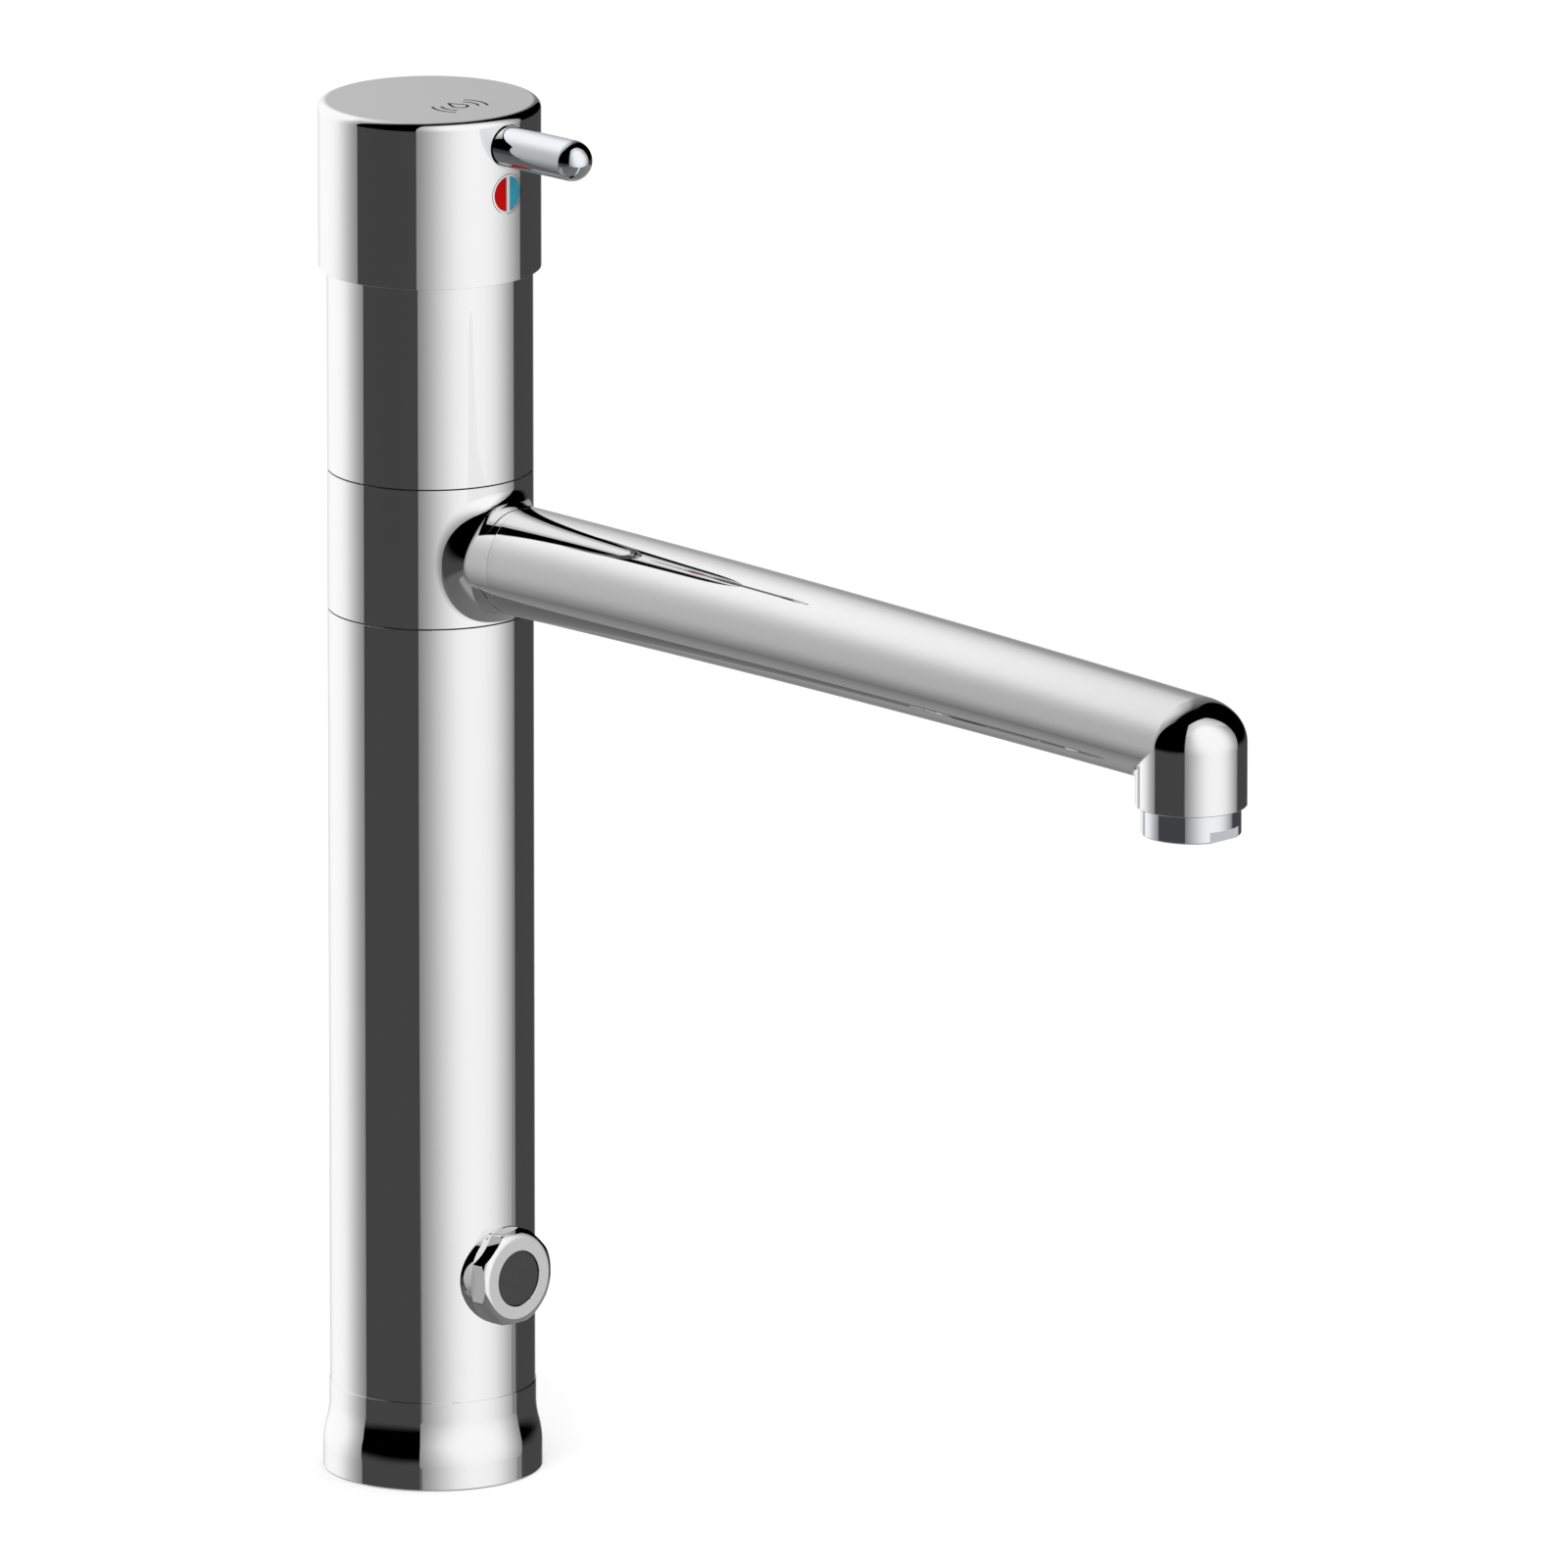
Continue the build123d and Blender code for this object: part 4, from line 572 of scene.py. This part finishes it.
def makeSpoutRing():
    radius, bore, low, high = ring["radius"], ring["bore"], ring["low"], ring["high"]
    neckRadius, neckHeight, reach = ring["neckRadius"], ring["neckHeight"], ring["neckReach"]

    def ball(angle):
        # middle of the ball that rolls round the neck's root
        fillet = filletAt(angle)
        across = (neckRadius + fillet) * cos(angle)
        return Vector((across, -sqrt((radius + fillet) ** 2 - across ** 2),
                       neckHeight + (neckRadius + fillet) * sin(angle)))

    def rootSpot(angle, part):
        middle = ball(angle)
        fromColumn = Vector((middle.x, middle.y, 0)).normalized()
        fromNeck = Vector((cos(angle), 0, sin(angle)))
        out = fromColumn.slerp(fromNeck, part)
        return middle - out * filletAt(angle), out

    def rootAngle(spot):
        # the angle round the neck at which the root starts at this spot of the column
        angle = atan2(spot.z - neckHeight, spot.x)
        for _ in range(12):
            fillet = filletAt(angle)
            angle = atan2(spot.z - neckHeight, spot.x * (radius + fillet) / radius)
        return angle

    def neckSpot(angle, r, y):
        out = Vector((cos(angle), 0, sin(angle)))
        return Vector((0, y, neckHeight)) + out * r, out

    def portSpot(angle):
        across = ring["port"] * cos(angle)
        return Vector((across, -sqrt(bore ** 2 - across ** 2), neckHeight + ring["port"] * sin(angle)))

    angles = [2 * pi * i / ring["neckSteps"] for i in range(ring["neckSteps"])]
    skin = holedSleeve(radius, low + ring["edge"], high - ring["edge"], [rootSpot(a, 0)[0] for a in angles])
    lining = holedSleeve(bore, low, high, [portSpot(a) for a in angles])
    solid = bmesh.new()
    turn = solid.verts.layers.float.new("turn")
    facing = solid.verts.layers.float_vector.new("facing")
    neckEnds = []
    for sheet, outer in ((skin, True), (lining, False)):
        carrier = bpy.data.meshes.new("carrier")
        sheet.to_mesh(carrier)
        sheet.free()
        known = set(solid.verts)
        solid.from_mesh(carrier)
        bpy.data.meshes.remove(carrier)
        fresh = [vert for vert in solid.verts if vert not in known]
        for vert in fresh:
            out = Vector((vert.co.x, vert.co.y, 0)).normalized()
            vert[facing] = out if outer else -out
            vert[turn] = atan2(vert.co.y, vert.co.x)
        sides = [edge for edge in openSides(solid) if edge.verts[0] not in known]
        rims, band = {"hole": [], "low": [], "high": []}, ring["rimBand"]
        for edge in sides:
            middle = (edge.verts[0].co.z + edge.verts[1].co.z) / 2
            where = "low" if middle < low + band else "high" if middle > high - band else "hole"
            rims[where].append(edge)
        for vert in set(vert for edge in rims["hole"] for vert in edge.verts):
            vert[turn] = rootAngle(vert.co) if outer else atan2(vert.co.z - neckHeight, vert.co.x)
            vert.co = rootSpot(vert[turn], 0)[0] if outer else portSpot(vert[turn])
        if outer:
            rim = rims["hole"]
            for i in range(1, ring["filletSteps"] + 1):
                rim = pull(solid, rim, lambda a, part=i / ring["filletSteps"]: rootSpot(a, part))
            rim = pull(solid, rim, lambda a: neckSpot(a, neckRadius, -reach + ring["neckEdge"]))
            rim = pull(solid, rim, lambda a: (neckSpot(a, neckRadius - ring["neckEdge"], -reach)[0], Vector()))
            neckEnds += rim
            for name, end, depth in (("low", low, ring["grooveDepth"]), ("high", high, -ring["grooveDepth"])):
                rim = rims[name]
                for r, z in ((radius - ring["edge"], end), (ring["grooveOut"], end),
                             (ring["grooveOut"], end + depth), (ring["grooveIn"], end + depth),
                             (ring["grooveIn"], end), (bore, end)):
                    rim = pull(solid, rim, lambda a, r=r, z=z: (Vector((r * cos(a), r * sin(a), z)), Vector()))
        else:
            inner = neckRadius - ring["wall"]
            rim = pull(solid, rims["hole"], lambda a: neckSpot(a, ring["port"], -ring["wallStart"]))
            rim = pull(solid, rim, lambda a: neckSpot(a, inner, -ring["wallStart"]))
            rim = pull(solid, rim, lambda a: neckSpot(a, inner, -reach))
            neckEnds += rim
    bmesh.ops.bridge_loops(solid, edges=neckEnds)
    bmesh.ops.remove_doubles(solid, verts=solid.verts, dist=weld)
    bmesh.ops.recalc_face_normals(solid, faces=solid.faces)
    print("spout ring: open edges", len(openSides(solid)))
    piece = asPiece(solid, "spoutRing")
    combine(piece, curvedBlock(ring["slotIn"], ring["slotOut"], high - ring["slotDepth"], high + overcut,
                               ring["slotFrom"], ring["slotSweep"], 48))      # room for the stop pin
    trueNormals(piece, [roundZ(radius), roundZ(bore), roundY(neckRadius, neckHeight)])
    settle(piece, "chrome", "spout", "spout_ring")


spout = {"start": ring["neckReach"], "reach": 257.5, "height": 231.75, "rootRise": 13.74, "taper": 0.0102,
         "droop": 7.57e-5, "wall": 2.5, "edge": 0.05, "nozzleRadius": 13.4, "dome": 226.73, "domeRise": 11.086,
         "domeStart": 0.8, "mouth": 211.5, "fillet": 1.5, "nozzleBore": 11.5, "seatTop": 216.7, "throat": 9.6,
         "around": 256, "along": 72, "filletSteps": 6, "down": 72, "creaseFrom": 235.0, "halvings": 40,
         "crownPart": 0.02, "mouthEdge": 0.2, "boreEnd": 250, "boreSteps": 12}


def tubeSpot(reach, angle, grow=0.0):
    # a point of the oval tube, or of its skin grown outwards
    slope = 2 * spout["droop"] * reach if reach > spout["start"] + 0.5 else 0.0
    up = Vector((0, -slope, 1)).normalized()
    wide, tall = spout["nozzleRadius"], spout["rootRise"] - spout["taper"] * reach
    out = Vector((cos(angle) / wide, sin(angle) / tall)).normalized() * grow
    middle = Vector((0, -reach, spout["height"] - spout["droop"] * reach ** 2))
    return middle + Vector((1, 0, 0)) * (wide * cos(angle) + out.x) + up * (tall * sin(angle) + out.y)


def tubeFacing(reach, angle):
    reach = max(reach, spout["start"] + 1)
    along = tubeSpot(reach + 0.05, angle) - tubeSpot(reach - 0.05, angle)
    around = tubeSpot(reach, angle + 0.001) - tubeSpot(reach, angle - 0.001)
    return around.cross(along).normalized()


def nozzleHeart(point):
    # nearest point of the nozzle's axis, up to the dome's middle
    return Vector((0, -spout["reach"], min(point.z, spout["dome"])))


def nozzleSkin(point):
    # the point that lies outwards of this one on the nozzle or its flat dome, and the direction it faces
    big, rise, heart = spout["nozzleRadius"], spout["domeRise"], nozzleHeart(point)
    out = point - heart
    scaled = Vector((out.x / big, out.y / big, out.z / rise)).normalized()
    return (heart + Vector((scaled.x * big, scaled.y * big, scaled.z * rise)),
            Vector((scaled.x / big, scaled.y / big, scaled.z / rise)).normalized())


def makeSpoutTube():
    big, fillet, crown = spout["nozzleRadius"], spout["fillet"], spout["crownPart"]
    roots = {}

    def rootOf(angle):
        # reach at which a ball in the crease touches both the tube and the nozzle, or at which the dome starts
        if sin(angle) > -1e-6:
            return spout["reach"] + spout["domeStart"] * sin(angle)
        key = round(angle, 5)
        if key not in roots:
            low, high = spout["creaseFrom"], spout["reach"]
            for _ in range(spout["halvings"]):
                middle = (low + high) / 2
                spot = tubeSpot(middle, angle, fillet)
                if (spot - nozzleHeart(spot)).length > big + fillet:
                    low = middle
                else:
                    high = middle
            roots[key] = high
        return roots[key]

    def downSpot(angle, start, part):
        end = Vector((big * cos(angle), -spout["reach"] - big * sin(angle), spout["mouth"] + spout["mouthEdge"]))
        return nozzleSkin(start.lerp(end, part))

    def creaseSpot(angle, part):
        reach = rootOf(angle)
        if sin(angle) > -1e-6:
            return downSpot(angle, tubeSpot(reach, angle), crown * part)
        middle = tubeSpot(reach, angle, fillet)
        fromTube = (middle - tubeSpot(reach, angle)).normalized()
        fromNozzle = (middle - nozzleHeart(middle)).normalized()
        out = fromTube.slerp(fromNozzle, part)
        return middle - out * fillet, out

    def nozzleSpot(angle, part):
        if sin(angle) > -1e-6:
            return downSpot(angle, tubeSpot(rootOf(angle), angle), crown + (1 - crown) * part)
        return downSpot(angle, creaseSpot(angle, 1)[0], part)

    def mouthSpot(angle, r, z):
        return Vector((r * cos(angle), -spout["reach"] - r * sin(angle), z)), Vector()

    solid = bmesh.new()
    turn = solid.verts.layers.float.new("turn")
    solid.verts.layers.float_vector.new("facing")
    bmesh.ops.create_circle(solid, segments=spout["around"], radius=10)
    for vert in solid.verts:
        vert[turn] = atan2(vert.co.y, vert.co.x)
        vert.co = tubeSpot(spout["start"], vert[turn], -spout["edge"])
    first = list(solid.edges)
    begin = spout["start"] + spout["edge"]
    rim = first
    for i in range(spout["along"] + 1):
        part = i / spout["along"]

        def along(angle, part=part):
            reach = begin + (rootOf(angle) - begin) * part
            return tubeSpot(reach, angle), tubeFacing(reach, angle)
        rim = pull(solid, rim, along)
    for i in range(1, spout["filletSteps"] + 1):
        rim = pull(solid, rim, lambda angle, part=i / spout["filletSteps"]: creaseSpot(angle, part))
    for i in range(1, spout["down"] + 1):
        rim = pull(solid, rim, lambda angle, part=i / spout["down"]: nozzleSpot(angle, part))
    for r, z in ((big - spout["mouthEdge"], spout["mouth"]), (spout["nozzleBore"], spout["mouth"]),
                 (spout["nozzleBore"], spout["seatTop"]), (spout["throat"], spout["seatTop"])):
        rim = pull(solid, rim, lambda angle, r=r, z=z: mouthSpot(angle, r, z))
    for i in range(spout["boreSteps"] + 1):
        reach = spout["boreEnd"] + (spout["start"] - spout["boreEnd"]) * i / spout["boreSteps"]
        rim = pull(solid, rim, lambda angle, reach=reach: (tubeSpot(reach, angle, -spout["wall"]), Vector()))
    bmesh.ops.bridge_loops(solid, edges=first + rim)
    bmesh.ops.recalc_face_normals(solid, faces=solid.faces)
    print("spout tube: open edges", len(openSides(solid)))
    piece = asPiece(solid, "spoutTube")
    trueNormals(piece)
    settle(piece, "chrome", "spout", "spout_tube")


aerator = {"radius": 12.0, "low": 204.6, "top": spout["mouth"], "threadTop": 215.5, "thread": 11.45, "bore": 10.6,
           "lip": 9.6, "flats": 22.0, "flatTop": 207.3, "edge": 0.3, "lipEdge": 0.15, "lipHeight": 1, "block": 10}


def makeAerator():
    low, radius, edge, block = aerator["low"], aerator["radius"], aerator["edge"], aerator["block"]
    lip, lipEdge, lipTop = aerator["lip"], aerator["lipEdge"], low + aerator["lipHeight"]
    bore, thread, threadTop = aerator["bore"], aerator["thread"], aerator["threadTop"]
    outline = [(radius, aerator["top"]), (radius, low + edge), (radius - edge, low), (lip + lipEdge, low),
               (lip, low + lipEdge), (lip, lipTop), (bore, lipTop), (bore, threadTop), (thread, threadTop),
               (thread, aerator["top"])]
    piece = asPiece(turned(outline, at=(0, -spout["reach"], 0)), "aeratorHousing")
    for side in (-1, 1):
        cutter = bmesh.new()
        bmesh.ops.create_cube(cutter, size=block)
        bmesh.ops.scale(cutter, vec=(4, 1, 1), verts=cutter.verts)
        shift(cutter, 0, "X", (0, -spout["reach"] + side * (aerator["flats"] + block) / 2,
                               aerator["flatTop"] - block / 2))
        combine(piece, cutter)
    trueNormals(piece, [roundZ(r, -spout["reach"]) for r in (radius, bore, lip, thread)])
    settle(piece, "chrome", "spout", "aerator_housing")
    piece.data.materials[0] = finishes["coolChrome"]


cap = {"radius": 27.0, "low": 300.0, "top": 341.0, "round": 2.0, "ceiling": 338.0, "bore": 24.0, "step": 316.6,
       "skirt": 25.3, "edge": 0.04, "leverHeight": 333.8, "leverSeat": 5.35, "leverSeatFloor": 25.6, "shank": 2.55,
       "markHeight": 322.0, "markHole": 4.93, "markFloor": 25.2, "holeFrom": 15, "holeTo": 40}
symbol = {"from": 10.5, "depth": 0.25, "sink": 0.01, "width": 0.62, "drop": 2.2, "tip": 4.686, "waves": (4.2, 6.4),
          "half": 38.0, "shallowest": 0.005, "deepest": 0.3, "within": 0.02}


def symbolGroove(r, middle, half):
    # one curved groove of the engraved mark
    groove = curvedBlock(r, r + symbol["width"], cap["top"] - symbol["depth"], cap["top"] + overcut, middle - half,
                         2 * half, 24)
    shift(groove, 0, "Z", (0, -symbol["from"], 0))
    return groove


def dropSide(side):
    # one straight side of the drop: from the round part up to where the middle lines of the two sides meet
    lean, wide = asin(symbol["drop"] / symbol["tip"]), symbol["width"]
    first, last = wide / 2 / tan(lean), symbol["tip"] * cos(lean)
    groove = bmesh.new()
    bmesh.ops.create_cube(groove, size=1)
    bmesh.ops.scale(groove, vec=(wide, last - first, 2), verts=groove.verts)
    shift(groove, 0, "Z", (side * -wide / 2, -(first + last) / 2, 1 - symbol["sink"] - symbol["depth"]))
    shift(groove, side * lean, "Z", (0, symbol["tip"] - symbol["from"], cap["top"]))
    return groove


def dropTip():
    # the sides' round meeting; it and the sides sink a little deeper, so that no two floors lie in one plane
    below = symbol["width"] / 2 / (symbol["drop"] / symbol["tip"])
    return rod(symbol["width"] / 2, cap["top"] - symbol["depth"] - 2 * symbol["sink"], cap["top"] + overcut,
               at=(0, symbol["tip"] - below - symbol["from"], 0), steps=24)


def makeCap():
    radius, low, top, edge = cap["radius"], cap["low"], cap["top"], cap["edge"]
    outline = ([(0, cap["ceiling"]), (cap["bore"], cap["ceiling"]), (cap["bore"], cap["step"]),
                (cap["skirt"], cap["step"]), (cap["skirt"], low), (radius - edge, low), (radius, low + edge)]
               + arc((radius - cap["round"], top - cap["round"]), cap["round"], 0, 90, 14) + [(0, top)])
    solid = turned(outline, False, steps=384)
    for level in (top, cap["ceiling"]):
        fan = [face for face in solid.faces if all(abs(vert.co.z - level) < 1e-4 for vert in face.verts)]
        bmesh.ops.dissolve_faces(solid, faces=fan)
    piece = asPiece(solid, "cap")
    shank, seat, seatFloor = cap["shank"], cap["leverSeat"], cap["leverSeatFloor"]
    start, end = cap["holeFrom"], cap["holeTo"]
    combine(piece, turned([(0, start), (shank, start), (shank, seatFloor), (seat, seatFloor), (seat, end), (0, end)],
                          False, 128, True, (0, 0, cap["leverHeight"])))
    combine(piece, rod(cap["markHole"], cap["markFloor"], end, True, (0, 0, cap["markHeight"])))
    for middle in (0, 180):
        for r in symbol["waves"]:
            combine(piece, symbolGroove(r, middle, symbol["half"]))
    dropHalf = 90 + degrees(asin(symbol["drop"] / symbol["tip"]))
    combine(piece, symbolGroove(symbol["drop"] - symbol["width"], -90, dropHalf))
    combine(piece, dropSide(-1))
    combine(piece, dropSide(1))
    combine(piece, dropTip())
    trueNormals(piece, [roundZ(radius), bead(radius - cap["round"], cap["round"], 2, (0, 0, top - cap["round"])),
                        roundZ(cap["bore"]), roundZ(cap["skirt"]), roundY(seat, cap["leverHeight"]),
                        roundY(shank, cap["leverHeight"]), roundY(cap["markHole"], cap["markHeight"])])
    settle(piece, "chrome", "handle", "cap")
    # the mark's groove faces take a second, nearly black colour
    piece.data.materials.append(makeBlackGroove())
    for face in piece.data.polygons:
        depth = top - face.center.z * 1000
        if (symbol["shallowest"] < depth < symbol["deepest"]
                and hypot(face.center.x, face.center.y) < symbol["within"]):
            face.material_index = 1


lever = {"radius": 5.0, "root": 25.6, "reach": 53.8, "shank": 2.5, "shankStart": 11.6, "shankEdge": 0.3,
         "rootEdge": 0.15}


def makeLever():
    radius, reach, root, shank = lever["radius"], lever["reach"], lever["root"], lever["shank"]
    start, shankEdge, rootEdge = lever["shankStart"], lever["shankEdge"], lever["rootEdge"]
    outline = ([(0, start), (shank - shankEdge, start), (shank, start + shankEdge), (shank, root),
                (radius - rootEdge, root), (radius, root + rootEdge)]
               + arc((0, reach - radius), radius, 0, 90, 40))
    piece = asPiece(turned(outline, False, 192, True, (0, 0, cap["leverHeight"])), "leverPin")
    softShade(piece)
    settle(piece, "chrome", "handle", "lever_pin")
    piece.data.materials[0] = finishes["coolChrome"]


mark = {"radius": 4.77, "field": 4.3, "bar": 1.07, "floor": 25.2, "inlay": 25.7, "end": 29, "gap": 0.05,
        "faceLow": 310, "faceHigh": 330, "softEdge": 0.00012}


def halfDisc(side, radius, halfBar, start, end):
    # one half of a disc that faces the user, up to the bar
    disc = bmesh.new()
    bmesh.ops.create_circle(disc, cap_ends=True, segments=128, radius=radius)
    parts = list(disc.faces) + list(disc.edges) + list(disc.verts)
    bmesh.ops.bisect_plane(disc, geom=parts, dist=1e-5, plane_co=(side * halfBar, 0, 0), plane_no=(side, 0, 0),
                           clear_inner=True)
    raised = bmesh.ops.extrude_face_region(disc, geom=list(disc.faces))["geom"]
    bmesh.ops.translate(disc, vec=(0, 0, end - start),
                        verts=[item for item in raised if isinstance(item, bmesh.types.BMVert)])
    bmesh.ops.recalc_face_normals(disc, faces=disc.faces)
    shift(disc, pi / 2, "X", (0, -start, cap["markHeight"]))
    return disc


def makeMark():
    height, halfBar, gap, end = cap["markHeight"], mark["bar"] / 2, mark["gap"], mark["end"]
    low, high = mark["faceLow"], mark["faceHigh"]
    surround = asPiece(rod(mark["radius"], mark["floor"], end, True, (0, 0, height)), "markFrame")
    combine(surround, rod(cap["radius"], low, high, steps=384), "INTERSECT")
    for side in (-1, 1):
        combine(surround, halfDisc(side, mark["field"], halfBar, mark["inlay"], end))
    trueNormals(surround, [roundZ(cap["radius"]), roundY(mark["radius"], height), roundY(mark["field"], height)])
    settle(surround, "chrome", "handle", "mark_frame")
    for side, name, node, slotName in ((-1, "hotHalf", "mark_hot", "red_enamel"),
                                       (1, "coldHalf", "mark_cold", "blue_enamel")):
        half = asPiece(halfDisc(side, mark["field"] - gap, halfBar + gap, mark["inlay"], end), name)
        combine(half, rod(cap["radius"] - gap, low, high, steps=384), "INTERSECT")
        soften = half.modifiers.new("soften", "BEVEL")
        soften.width, soften.segments = mark["softEdge"], 3
        soften.limit_method, soften.angle_limit = "ANGLE", radians(40)
        softShade(half, 50)
        settle(half, slotName, "handle", node)


for make in (makeFoot, makeColumn, makeSensor, makeSpoutRing, makeSpoutTube, makeAerator, makeCap, makeLever,
             makeMark):
    make()
    print("made:", make.__name__[4:])


# walls, floor and ceiling that only the plating mirrors; lengths are shares of the room's size
room = {"size": 20.0, "left": -1.0, "right": 1.22, "user": -0.62, "back": 0.70, "ceiling": 3.4, "floor": -0.57,
        "plate": 0.83, "floorLight": 0.165, "floorRise": 0.05, "near": (0.1, 0.35), "far": (0.42, 0.75),
        "nearLight": 0.16, "duskAcross": (0.62, 0.84), "duskAbove": (-0.05, 0.1), "upperStart": (0.6, 1.0)}
userWall = {"peak": 1.787, "middle": -0.01, "spread": 0.41, "curve": 1.75, "height": 0.528, "tall": 0.782,
            "curveUp": 2.894, "lean": 1.284, "most": 0.939, "sill": -0.3, "dim": 0.0, "upper": 0.86, "fall": 0.08,
            "upperSpread": 1.25}
backWall = {"peak": 2.166, "middle": 0.006, "spread": 0.367, "curve": 1.877, "height": 0.301, "tall": 0.518,
            "curveUp": 4.231, "lean": -0.121, "most": 0.95, "sill": -0.57, "dim": 0.45, "upper": 1.17, "fall": 0.42,
            "upperSpread": 0.75}
sideWall = {"most": 0.053, "from": -0.02, "to": -0.25, "sill": -0.45}


def roomSpot(g):
    spot = g.node("ShaderNodeTexCoord", output="Object")
    across = g.node("ShaderNodeSeparateXYZ", None, {"Vector": spot}, "X")
    return across / room["size"], across.output("Y") / room["size"], across.output("Z") / room["size"]


def roomFloorLight(x):
    return room["floorLight"] + x * room["floorRise"]


def glow(g, light):
    lamp = g.node("ShaderNodeEmission", None, {"Color": grey(1), "Strength": light / room["plate"]})
    g.node("ShaderNodeOutputMaterial", None, {"Surface": lamp})


def makeBrightWall(name, wall):
    material, g = newMaterial(name)
    x, y, z = roomSpot(g)
    light = wall["peak"] / (1 + x.swell(wall["middle"], wall["spread"], wall["curve"])
                            + z.swell(wall["height"], wall["tall"], wall["curveUp"])
                            + (x - wall["middle"]) * (z - wall["height"]) * wall["lean"])
    upper = (wall["upper"] - z * wall["fall"]) / (1 + x.swell(wall["middle"], wall["upperSpread"], 2))
    light = light.softMost(wall["most"]).atLeast(upper * z.fade(*room["upperStart"]))
    dusk = x.fade(*room["duskAcross"]) * z.fade(*room["duskAbove"]) * wall["dim"]      # towards the right end
    lit = z.above(wall["sill"])
    glow(g, light * (1 - dusk) * lit + roomFloorLight(x) * (1 - lit))
    return material


def makeDarkWall(name):
    material, g = newMaterial(name)
    x, y, z = roomSpot(g)
    glow(g, (1 - z.fade(sideWall["to"], sideWall["from"])) * sideWall["most"]
         + (1 - z.fade(sideWall["sill"], sideWall["sill"] + 0.1)) * (roomFloorLight(x) - sideWall["most"]))
    return material


def makeRoomFloor():
    material, g = newMaterial("roomFloor")
    x, y, z = roomSpot(g)
    # lighter behind the tap, where the tube mirrors it
    near = y.fade(*room["near"]) * (1 - y.fade(*room["far"]))
    glow(g, roomFloorLight(x) + near * room["nearLight"])
    return material


def makeDark():
    material, g = newMaterial("roomCeiling")
    glow(g, 0.0)
    return material


def makeRoom():
    size = room["size"]
    left, right, user, back = (room[side] * size for side in ("left", "right", "user", "back"))
    low, high = room["floor"] * size, room["ceiling"] * size
    walls = (("userWall", (left, user), (right, user), makeBrightWall("userWall", userWall)),
             ("backWall", (left, back), (right, back), makeBrightWall("backWall", backWall)),
             ("leftWall", (left, user), (left, back), makeDarkWall("leftWall")),
             ("rightWall", (right, user), (right, back), makeDarkWall("rightWall")))
    panels = [(name, ((*start, low), (*end, low), (*end, high), (*start, high)), material)
              for name, start, end, material in walls]
    for name, z, material in (("roomFloor", low, makeRoomFloor()), ("roomCeiling", high, makeDark())):
        panels.append((name, ((left, user, z), (right, user, z), (right, back, z), (left, back, z)), material))
    for name, corners, material in panels:
        panel = bmesh.new()
        panel.faces.new([panel.verts.new(corner) for corner in corners])
        wall = asPiece(panel, name)
        wall.data.materials.append(material)
        material.cycles.emission_sampling = "NONE"
        wall.visible_camera = wall.visible_diffuse = wall.visible_shadow = wall.visible_transmission = False


studio = {"worldLight": 0.8, "lampPower": 26.0, "lampSize": 2.2, "lampPlace": (-1.6, -1.2, 2.6),
          "lampAim": (0, 0, 0.15), "floorColour": 0.94, "floorRadius": 4.0, "floorDrop": 0.0002, "floorLift": 0.25}
photoView = {"lens": 787.5, "sensor": 36.0, "clipEnd": 100.0, "place": (-5.6442, -5.7652, 2.2067), "tilt": 75.835,
             "turn": -45}


def makeStudio():
    world = bpy.data.worlds.new("studio")
    bpy.context.scene.world = world
    g = Graph(world)
    path = g.node("ShaderNodeLightPath", output="Is Camera Ray")
    seen = path.atLeast(path.output("Is Glossy Ray")).atLeast(path.output("Is Transmission Ray"))
    plain = g.node("ShaderNodeBackground", None, {"Color": grey(1), "Strength": studio["worldLight"]})
    white = g.node("ShaderNodeBackground", None, {"Color": grey(1), "Strength": 1.0})
    mixed = g.node("ShaderNodeMixShader", None, {0: seen, 1: plain, 2: white})
    g.node("ShaderNodeOutputWorld", None, {"Surface": mixed})

    disc = bmesh.new()
    bmesh.ops.create_circle(disc, cap_ends=True, segments=96, radius=studio["floorRadius"])
    bmesh.ops.translate(disc, vec=(0, 0, -studio["floorDrop"]), verts=disc.verts)
    floor = asPiece(disc, "floor")
    material, g = newMaterial("paleFloor")
    path = g.node("ShaderNodeLightPath", output="Is Camera Ray")
    cloud = g.noise(g.place(), 3.0, 2.0)
    g.finish({"Base Color": g.blend(cloud, grey(studio["floorColour"]), grey(studio["floorColour"] - 0.01)),
              "Roughness": 0.8, "Specular IOR Level": 0.0,
              "Emission Color": g.blend(path, grey(0), grey(studio["floorLift"])), "Emission Strength": 1.0})
    floor.data.materials.append(material)
    floor.visible_glossy = False

    lamp = bpy.data.lights.new("softBox", "AREA")
    lamp.shape, lamp.size, lamp.energy = "DISK", studio["lampSize"], studio["lampPower"]
    holder = bpy.data.objects.new("softBox", lamp)
    bpy.context.scene.collection.objects.link(holder)
    holder.location = studio["lampPlace"]
    holder.rotation_euler = (Vector(studio["lampAim"]) - holder.location).to_track_quat("-Z", "Y").to_euler()
    holder.visible_glossy = holder.visible_camera = False

    camera = bpy.data.cameras.new("photoCamera")
    camera.lens, camera.sensor_width, camera.clip_end = photoView["lens"], photoView["sensor"], photoView["clipEnd"]
    eye = bpy.data.objects.new("photoCamera", camera)
    bpy.context.scene.collection.objects.link(eye)
    eye.location = photoView["place"]
    eye.rotation_euler = (radians(photoView["tilt"]), 0, radians(photoView["turn"]))
    bpy.context.scene.camera = eye
    bpy.context.scene.view_settings.view_transform = "Standard"


makeRoom()
makeStudio()
print("studio ready")
